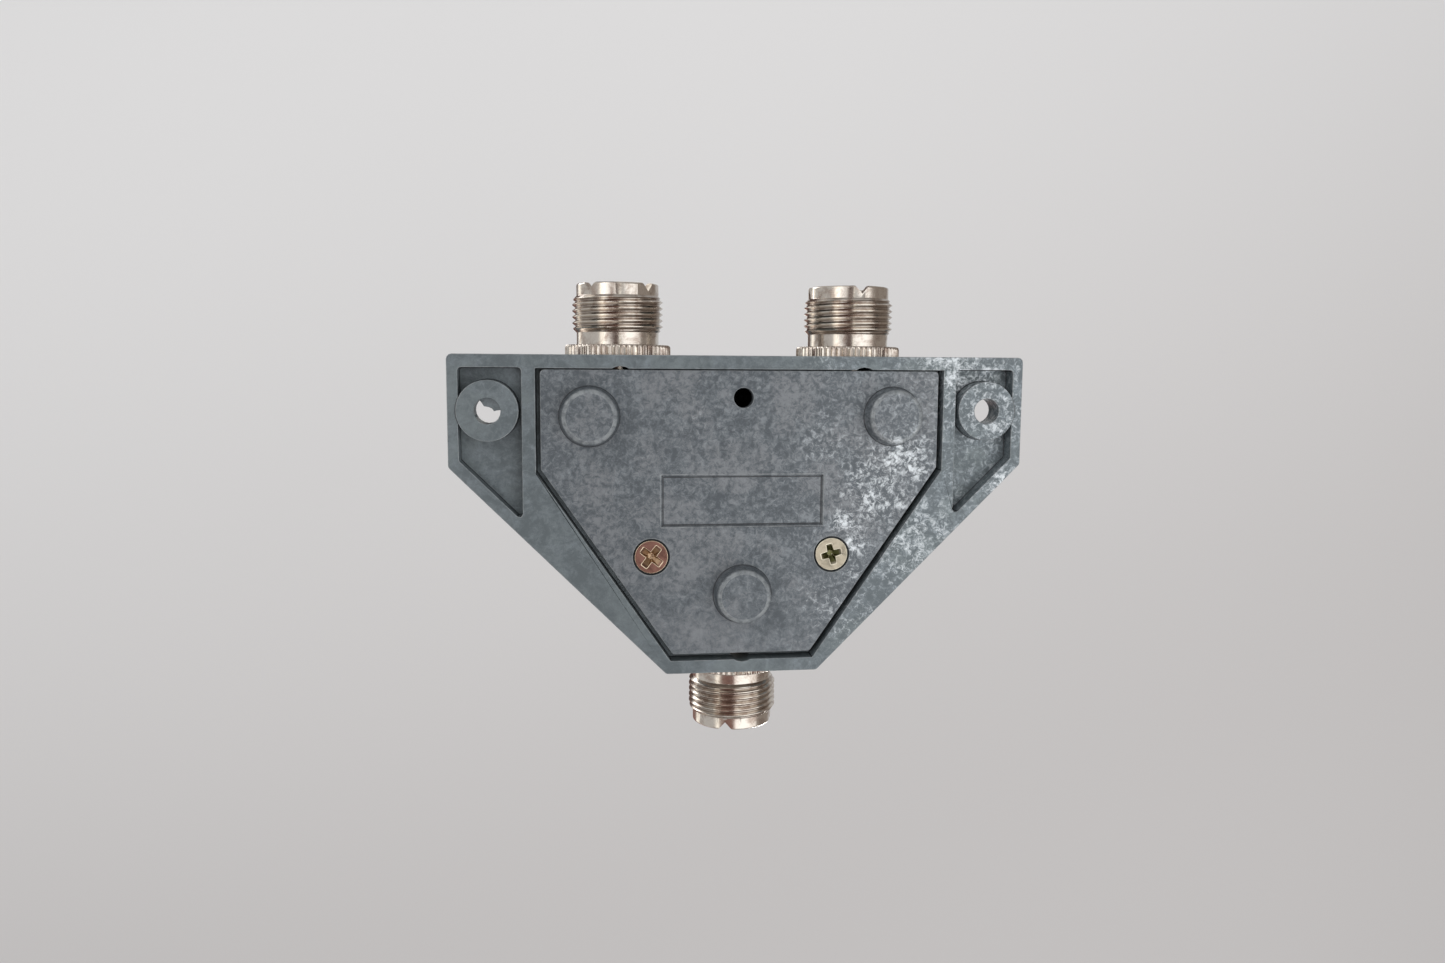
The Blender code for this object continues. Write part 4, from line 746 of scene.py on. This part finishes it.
# Cover screws
# Two countersunk cross-head screws of steel, yellow zinc plated. One has turned reddish brown,
# the other is pale, with a greenish recess.
SCREW_EDGE_ROUND = 0.10 * MM
SCREW_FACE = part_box("cover_screw_left")[0].z
SCREW_CORNER_RADIUS = 1.0 * MM  # the cross's inner corners lie within this, its tips within the next,
SCREW_TIP_RADIUS = 1.9 * MM     # and a driver has worn both outwards by these factors
SCREW_CORNER_WEAR = 1.35
SCREW_TIP_WEAR = {"cover_screw_left": 1.18, "cover_screw_right": 1.36}
SCREW_RECESS_DEPTHS = (0.12 * MM, 0.5 * MM)     # the recess's own tint sets in between these
SCREW_MARKS_SCALE = 3800.0
SCREW_STAIN_RANGE = (0.40, 0.70)
SCREW_STAIN_DEPTH = 0.05 * MM
SCREW_DULLED = 0.55
SCREW_HIGHLIGHT_SHOWS = 0.8
SCREW_FACES = {"cover_screw_left": (0.38, 0.34, 0.265, 1), "cover_screw_right": (0.215, 0.115, 0.092, 1)}
# worn plating and painted highlights on the heads' edges
SCREW_EDGE_HIGHLIGHTS = {"cover_screw_left": (0.80, 0.76, 0.62, 1), "cover_screw_right": (0.74, 0.62, 0.46, 1)}
SCREW_RECESSES = {"cover_screw_left": (0.12, 0.12, 0.055, 1), "cover_screw_right": (0.36, 0.25, 0.16, 1)}


def yellow_zinc(name, face, edge_highlight, recess, centre):
    """Plated screw head: its worn edges are paler, with a painted highlight, and its recess keeps another
    tint.
    """
    material, tree, shader = new_material(name, Metallic=1.0)
    marks = use(tree, TURNED_MARKS, {"Vector": centred(tree, centre), "Scale": SCREW_MARKS_SCALE})
    dull = tuple(part * SCREW_DULLED for part in face[:3]) + (1,)
    tint = blended(tree, between(tree, marks["Stain"], *SCREW_STAIN_RANGE), face, dull)
    tint = blended(tree, between(tree, marks["Height"], *SCREW_RECESS_DEPTHS), tint, recess)
    edge = add(tree, "Attribute", attribute_name="cast_edge").outputs["Fac"]
    shows = maths(tree, 'MULTIPLY', edge, SCREW_HIGHLIGHT_SHOWS, True)
    tree.links.new(blended(tree, shows, tint, edge_highlight), shader["Base Color"])
    tree.links.new(maths(tree, 'ADD', maths(tree, 'MULTIPLY', marks["Rings"], 0.2), 0.22),
                   shader["Roughness"])
    bump(tree, shader, marks["Stain"], SCREW_STAIN_DEPTH, 0.6)
    return material


for node in ("cover_screw_left", "cover_screw_right"):
    low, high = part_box(node)
    centre = Vector(((low.x + high.x) / 2, (low.y + high.y) / 2, SCREW_FACE))
    screw = merged_copy(node)
    for vert in screw.verts:
        away = vert.co - centre
        if away.xy.length < SCREW_TIP_RADIUS and away.z < SCREW_EDGE_ROUND:
            inner = away.xy.length < SCREW_CORNER_RADIUS
            vert.co.xy = centre.xy + away.xy * (SCREW_CORNER_WEAR if inner else SCREW_TIP_WEAR[node])
    soften(screw, SCREW_EDGE_ROUND)
    plating = yellow_zinc(node.replace("cover_screw", "yellow_zinc"), SCREW_FACES[node], SCREW_EDGE_HIGHLIGHTS[node],
                          SCREW_RECESSES[node], centre)
    finished(node.replace("cover_", "plated_"), screw, plating, "screw_plating", "case", node)

# Knob
# Moulded in black plastic round a brass insert: a plain skirt, a fluted grip and a pointer line
# that is filled with white paint.
KNOB_BLACK = (0.013, 0.013, 0.014, 1)
KNOB_DUSTY = (0.035, 0.035, 0.036, 1)
LINE_WHITE = (0.74, 0.73, 0.70, 1)
LINE_AGED = (0.55, 0.53, 0.48, 1)
KNOB_TURN = math.radians(30)    # at rest the pointer shows output 1
KNOB_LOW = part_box("knob")[0].z
KNOB_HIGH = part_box("knob")[1].z
KNOB_SKIRT_RADIUS = 14.0 * MM
KNOB_SKIRT_HEIGHT = 2.6 * MM
KNOB_SLOPE_HEIGHT = 1.6 * MM
KNOB_GRIP_RADIUS = 11.5 * MM
KNOB_GRIP_TAPER = 0.6 * MM
KNOB_EDGE_ROUND = 0.8 * MM
KNOB_SKIRT_ROUND = 0.4 * MM
KNOB_TOP_MIDDLE = 0.5 * MM      # radius of the last, innermost ring of the top
# out past the grip's radius, up past its lower end, and the share of the flutes' depth there
KNOB_GRIP_FOOT = ((0.5 * MM, -0.3 * MM, 0), (0, 0, 0.35), (-0.05 * MM, 0.6 * MM, 1))
KNOB_FLUTES = 18
KNOB_FLUTE_STEPS = 12
KNOB_FLUTE_DEPTH = 0.75 * MM
KNOB_FLUTE_SHARPNESS = 1.5
KNOB_INSERT_PLAY = 0.3 * MM     # over the top of the insert
KNOB_RECESS_RADIUS = 8.6 * MM
KNOB_WELL_RADIUS = 4.9 * MM
KNOB_INSERT_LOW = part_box("knob_insert")[0].z
KNOB_INSERT_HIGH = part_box("knob_insert")[1].z
KNOB_LINE_WIDTH = 1.0 * MM
KNOB_LINE_DEPTH = 0.35 * MM
KNOB_LINE_START = 4.0 * MM
LINE_PLAY = 0.03 * MM           # the paint keeps this off the groove's sides
LINE_FLOOR_PLAY = 0.01 * MM
LINE_SINKS = 0.06 * MM          # and lies this far under the knob's top
LINE_EDGE_ROUND = 0.05 * MM
KNOB_ROUGHNESS = 0.38
KNOB_GRAIN = (2600.0, 0.03 * MM)            # scale and depth
LINE_ROUGHNESS = 0.5
LINE_GRAIN = (3200.0, 0.02 * MM)
GRUB_HOLE_RADIUS = 1.8 * MM
GRUB_HOLE_START = 2.0 * MM      # from the knob's axis, inside the insert
GRUB_HOLE_STEPS = 32


def strip(half, start, end):
    """Outline of a strip that runs out from the knob's axis."""
    return [(-half, start), (half, start), (half, end), (-half, end)]


def fluted_knob():
    """The knob as moulded: skirt, slope, fluted grip and rounded top, hollow underneath."""
    bm = bmesh.new()
    bmesh.ops.create_circle(bm, segments=KNOB_FLUTES * KNOB_FLUTE_STEPS, radius=KNOB_RECESS_RADIUS)
    shoulder = KNOB_LOW + KNOB_SKIRT_HEIGHT
    grip_low = shoulder + KNOB_SLOPE_HEIGHT
    top_radius = KNOB_GRIP_RADIUS - KNOB_GRIP_TAPER
    rim = quarter_round(KNOB_SKIRT_RADIUS, shoulder, KNOB_SKIRT_ROUND)
    top = quarter_round(top_radius, KNOB_HIGH, KNOB_EDGE_ROUND)
    # each station is a radius, a height and the share of the flutes' depth there
    stations = [(KNOB_RECESS_RADIUS, KNOB_LOW, 0)]
    stations += [(radius, KNOB_LOW + shoulder - height, 0) for radius, height in reversed(rim)]
    stations += [(radius, height, 0) for radius, height in rim]
    stations += [(KNOB_GRIP_RADIUS + out, grip_low + up, share) for out, up, share in KNOB_GRIP_FOOT]
    stations += [(radius, height, 1) for radius, height in top]
    stations += [(top_radius - 2 * KNOB_EDGE_ROUND, KNOB_HIGH, 0), (KNOB_TOP_MIDDLE, KNOB_HIGH, 0)]
    ring = list(bm.edges)
    for number, (radius, height, share) in enumerate(stations):
        if number > 0:
            ring = next_ring(bm, ring)
        for vert in corners_of(ring):
            angle = math.atan2(vert.co.y, vert.co.x)
            flute = abs(math.sin(KNOB_FLUTES * angle / 2)) ** KNOB_FLUTE_SHARPNESS
            hollow = share * KNOB_FLUTE_DEPTH * flute
            vert.co = ((radius - hollow) * math.cos(angle), (radius - hollow) * math.sin(angle), height)
    bmesh.ops.edgeloop_fill(bm, edges=ring)
    under = [edge for edge in bm.edges if edge.is_boundary]
    well = extruded_on(bm, under, [(KNOB_RECESS_RADIUS, KNOB_INSERT_LOW), (KNOB_WELL_RADIUS, KNOB_INSERT_LOW),
                                   (KNOB_WELL_RADIUS, KNOB_INSERT_HIGH + KNOB_INSERT_PLAY)])
    bmesh.ops.edgeloop_fill(bm, edges=well)
    bmesh.ops.recalc_face_normals(bm, faces=bm.faces)
    hole = bmesh.new()
    bmesh.ops.create_cone(hole, cap_ends=True, segments=GRUB_HOLE_STEPS, radius1=GRUB_HOLE_RADIUS,
                          radius2=GRUB_HOLE_RADIUS, depth=KNOB_SKIRT_RADIUS)
    inward = Matrix.Translation((0, -KNOB_SKIRT_RADIUS / 2 - GRUB_HOLE_START,
                                 (KNOB_INSERT_LOW + KNOB_INSERT_HIGH) / 2))
    bmesh.ops.transform(hole, matrix=inward @ Matrix.Rotation(math.radians(90), 4, 'X'), verts=hole.verts)
    groove = slab(strip(KNOB_LINE_WIDTH / 2, KNOB_LINE_START, KNOB_SKIRT_RADIUS),
                  KNOB_HIGH - KNOB_LINE_DEPTH, KNOB_HIGH + MM)
    return combined(bm, 'DIFFERENCE', [hole, groove])


knob_plastic = moulded_plastic("knob_plastic", KNOB_BLACK, KNOB_DUSTY, KNOB_ROUGHNESS, *KNOB_GRAIN)
line_paint = moulded_plastic("line_paint", LINE_WHITE, LINE_AGED, LINE_ROUGHNESS, *LINE_GRAIN)
turn = Matrix.Rotation(KNOB_TURN, 4, 'Z')
knob = fluted_knob()
bmesh.ops.transform(knob, matrix=turn, verts=knob.verts)
finished("moulded_knob", knob, knob_plastic, "knob_plastic", "selector", "knob")

line = slab(strip(KNOB_LINE_WIDTH / 2 - LINE_PLAY, KNOB_LINE_START + LINE_PLAY,
                  KNOB_GRIP_RADIUS - KNOB_GRIP_TAPER - KNOB_EDGE_ROUND),
            KNOB_HIGH - KNOB_LINE_DEPTH + LINE_FLOOR_PLAY, KNOB_HIGH - LINE_SINKS)
soften(line, LINE_EDGE_ROUND)
bmesh.ops.transform(line, matrix=turn, verts=line.verts)
finished("pointer_line", line, line_paint, "knob_plastic", "selector")

# Stage
# A pale table under the feet and, for the photograph's view from below, a pale round sheet high
# above the knob. Each shows only on its inner side, and neither lights nor shades the object.
TABLE_MIDDLE = (0, 0, -0.1 * MM)
TABLE_RADIUS = 2.5
TABLE_NEAR = (0.70, 0.69, 0.685, 1)
TABLE_FAR = (0.97, 0.965, 0.96, 1)
TABLE_FADE = (0.15, 0.9)        # distances from its middle between which it grows paler, painted light against the lamps' falloff
SHEET_MIDDLE = (-0.0773, -0.0629, 0.30)
SHEET_RADIUS = 0.423
# painted shade: the sheet darkens from its light colour to its shaded one across it
SHEET_LIGHT = (0.885, 0.882, 0.888, 1)
SHEET_PAINTED_SHADE = (0.645, 0.627, 0.625, 1)
SHEET_FADE_ALONG = (0.3, 0.95, 0)
SHEET_FADE = (0.25, -0.25)
SHEET_ROUGHNESS = 0.9


def stage_sheet(name, radius, middle, facing_up, first, last):
    """A flat disc that fades from its first colour to its last, and shows on one side only."""
    bm = bmesh.new()
    bmesh.ops.create_circle(bm, cap_ends=True, segments=ROUND_STEPS, radius=radius)
    bmesh.ops.translate(bm, vec=middle, verts=bm.verts)
    if (bm.faces[:][0].normal.z > 0) != facing_up:
        bmesh.ops.reverse_faces(bm, faces=bm.faces)
    material, tree, shader = new_material(name, Roughness=SHEET_ROUGHNESS, Specular_IOR_Level=0.0)
    where = add(tree, "TexCoord").outputs["Object"]
    if facing_up:
        away = add(tree, "VectorMath", {0: where}, operation='LENGTH').outputs["Value"]
        change = between(tree, away, *TABLE_FADE)
    else:
        along = add(tree, "VectorMath", {0: where, 1: SHEET_FADE_ALONG}, operation='DOT_PRODUCT')
        change = between(tree, along.outputs["Value"], *SHEET_FADE)
    tree.links.new(blended(tree, change, first, last), shader["Base Color"])
    mix = add(tree, "MixShader", {0: add(tree, "NewGeometry").outputs["Backfacing"],
                                  1: tree.nodes["Principled BSDF"].outputs[0],
                                  2: add(tree, "BsdfTransparent").outputs[0]})
    tree.links.new(mix.outputs[0], tree.nodes["Material Output"].inputs["Surface"])
    thing = shown(name, mesh_from(name, bm, material))
    for kind in ("diffuse", "glossy", "transmission", "shadow", "volume_scatter"):
        setattr(thing, "visible_" + kind, False)


stage_sheet("pale_table", TABLE_RADIUS, TABLE_MIDDLE, True, TABLE_NEAR, TABLE_FAR)
stage_sheet("pale_sheet", SHEET_RADIUS, SHEET_MIDDLE, False, SHEET_LIGHT, SHEET_PAINTED_SHADE)

# Light
# Soft lamps above and below the table in an evenly pale room. Long cards round the Y axis, which
# only reflections see, give the nickel its dark and bright bands. The upper cards show in the two
# output sockets, the lower ones in the common socket.
ROOM_PALE = (0.61, 0.605, 0.60, 1)
CARD_DISTANCE = 2.0
CARD_LOW = -3.0                 # ends along Y, and where the lower cards meet the upper ones
CARD_SPLIT = -0.35
CARD_HIGH = 3.0
CARD_STEPS = 8
CARD_MIDDLE = (0.34, 0.30, 0.27, 1)
CARD_DARK = (0.10, 0.06, 0.05, 1)
CARD_RED = (0.27, 0.155, 0.135, 1)
CARD_BRIGHT = (1.55, 1.50, 1.40, 1)
# from and to which angle round the Y axis, from and to where along it, and the colour
CARDS = {"left_middle": (-92, -48, CARD_LOW, CARD_HIGH, CARD_MIDDLE),
         "left_dark": (-110, -93, CARD_LOW, CARD_HIGH, CARD_DARK),
         "upper_dark": (0, 27, CARD_SPLIT, CARD_HIGH, CARD_DARK),
         "upper_line": (-6, -2, CARD_SPLIT, CARD_HIGH, CARD_BRIGHT),
         "upper_strip": (38, 54, CARD_SPLIT, CARD_HIGH, CARD_BRIGHT),
         "lower_red": (-6, 41, CARD_LOW, CARD_SPLIT, CARD_RED),
         "lower_strip": (43, 57, CARD_LOW, CARD_SPLIT, CARD_BRIGHT)}
LAMPS_AIM = Vector((0, 0, 0.015))
# place, size across and power in watts
LAMPS = {"below_right": ((-0.28, -0.16, -0.38), 0.68, 1.25),
         "below_left": ((0.26, 0.24, -0.40), 0.50, 0.65),
         "above_key": ((-0.30, -0.50, 0.50), 0.26, 2.5),
         "above_fill": ((0.40, 0.30, 0.42), 0.30, 0.9)}

for name, (spot, size, power) in LAMPS.items():
    lamp = bpy.data.lights.new(name, 'AREA')
    lamp.shape = 'DISK'
    lamp.size = size
    lamp.energy = power
    thing = shown(name, lamp)
    thing.location = spot
    thing.rotation_euler = (LAMPS_AIM - Vector(spot)).to_track_quat('-Z', 'Y').to_euler()
    thing.visible_camera = False

for name, (low, high, first, last, colour) in CARDS.items():
    bm = bmesh.new()
    reach = Matrix.Rotation(math.radians(low), 3, 'Y') @ Vector((0, 0, -CARD_DISTANCE))
    ends = [bm.verts.new((-reach.x, y, reach.z)) for y in (first, last)]
    bmesh.ops.spin(bm, geom=ends + [bm.edges.new(ends)], cent=(0, 0, 0), axis=(0, -1, 0), dvec=(0, 0, 0),
                   angle=math.radians(high - low), steps=CARD_STEPS, use_merge=False)
    bmesh.ops.mirror(bm, geom=bm.verts[:] + bm.edges[:] + bm.faces[:], axis='Z', merge_dist=0)
    material = bpy.data.materials.new("card_" + name)
    material.use_nodes = True
    tree = material.node_tree
    glow = add(tree, "Emission", {"Color": colour})
    tree.links.new(glow.outputs[0], tree.nodes["Material Output"].inputs["Surface"])
    card = shown("card_" + name, mesh_from("card_" + name, bm, material))
    for kind in ("camera", "diffuse", "transmission", "shadow", "volume_scatter"):
        setattr(card, "visible_" + kind, False)

room = bpy.data.worlds.new("pale_room")
bpy.context.scene.world = room
room.use_nodes = True
room.node_tree.nodes["Background"].inputs["Color"].default_value = ROOM_PALE

# Camera
# The photograph's place and direction, found from its straight edges, feet, holes and threads.
CAMERA_PLACE = Vector((27.12, 25.83, -176.96)) * MM
CAMERA_AXES = ((-0.991591, -0.007732, 0.129183), (0.006432, 0.994035, 0.108868),
               (-0.129254, 0.108783, -0.985627))
CAMERA_SENSOR = 36              # width and focal length in millimetres
CAMERA_LENS = 26.66
CAMERA_NEAREST = 0.005
camera = shown("photograph_view", bpy.data.cameras.new("photograph_view"))
camera.matrix_world = Matrix.Translation(CAMERA_PLACE) @ Matrix(CAMERA_AXES).to_4x4()
camera.data.sensor_width = CAMERA_SENSOR
camera.data.lens = CAMERA_LENS
camera.data.clip_start = CAMERA_NEAREST
bpy.context.scene.camera = camera
bpy.context.scene.view_settings.view_transform = 'Standard'
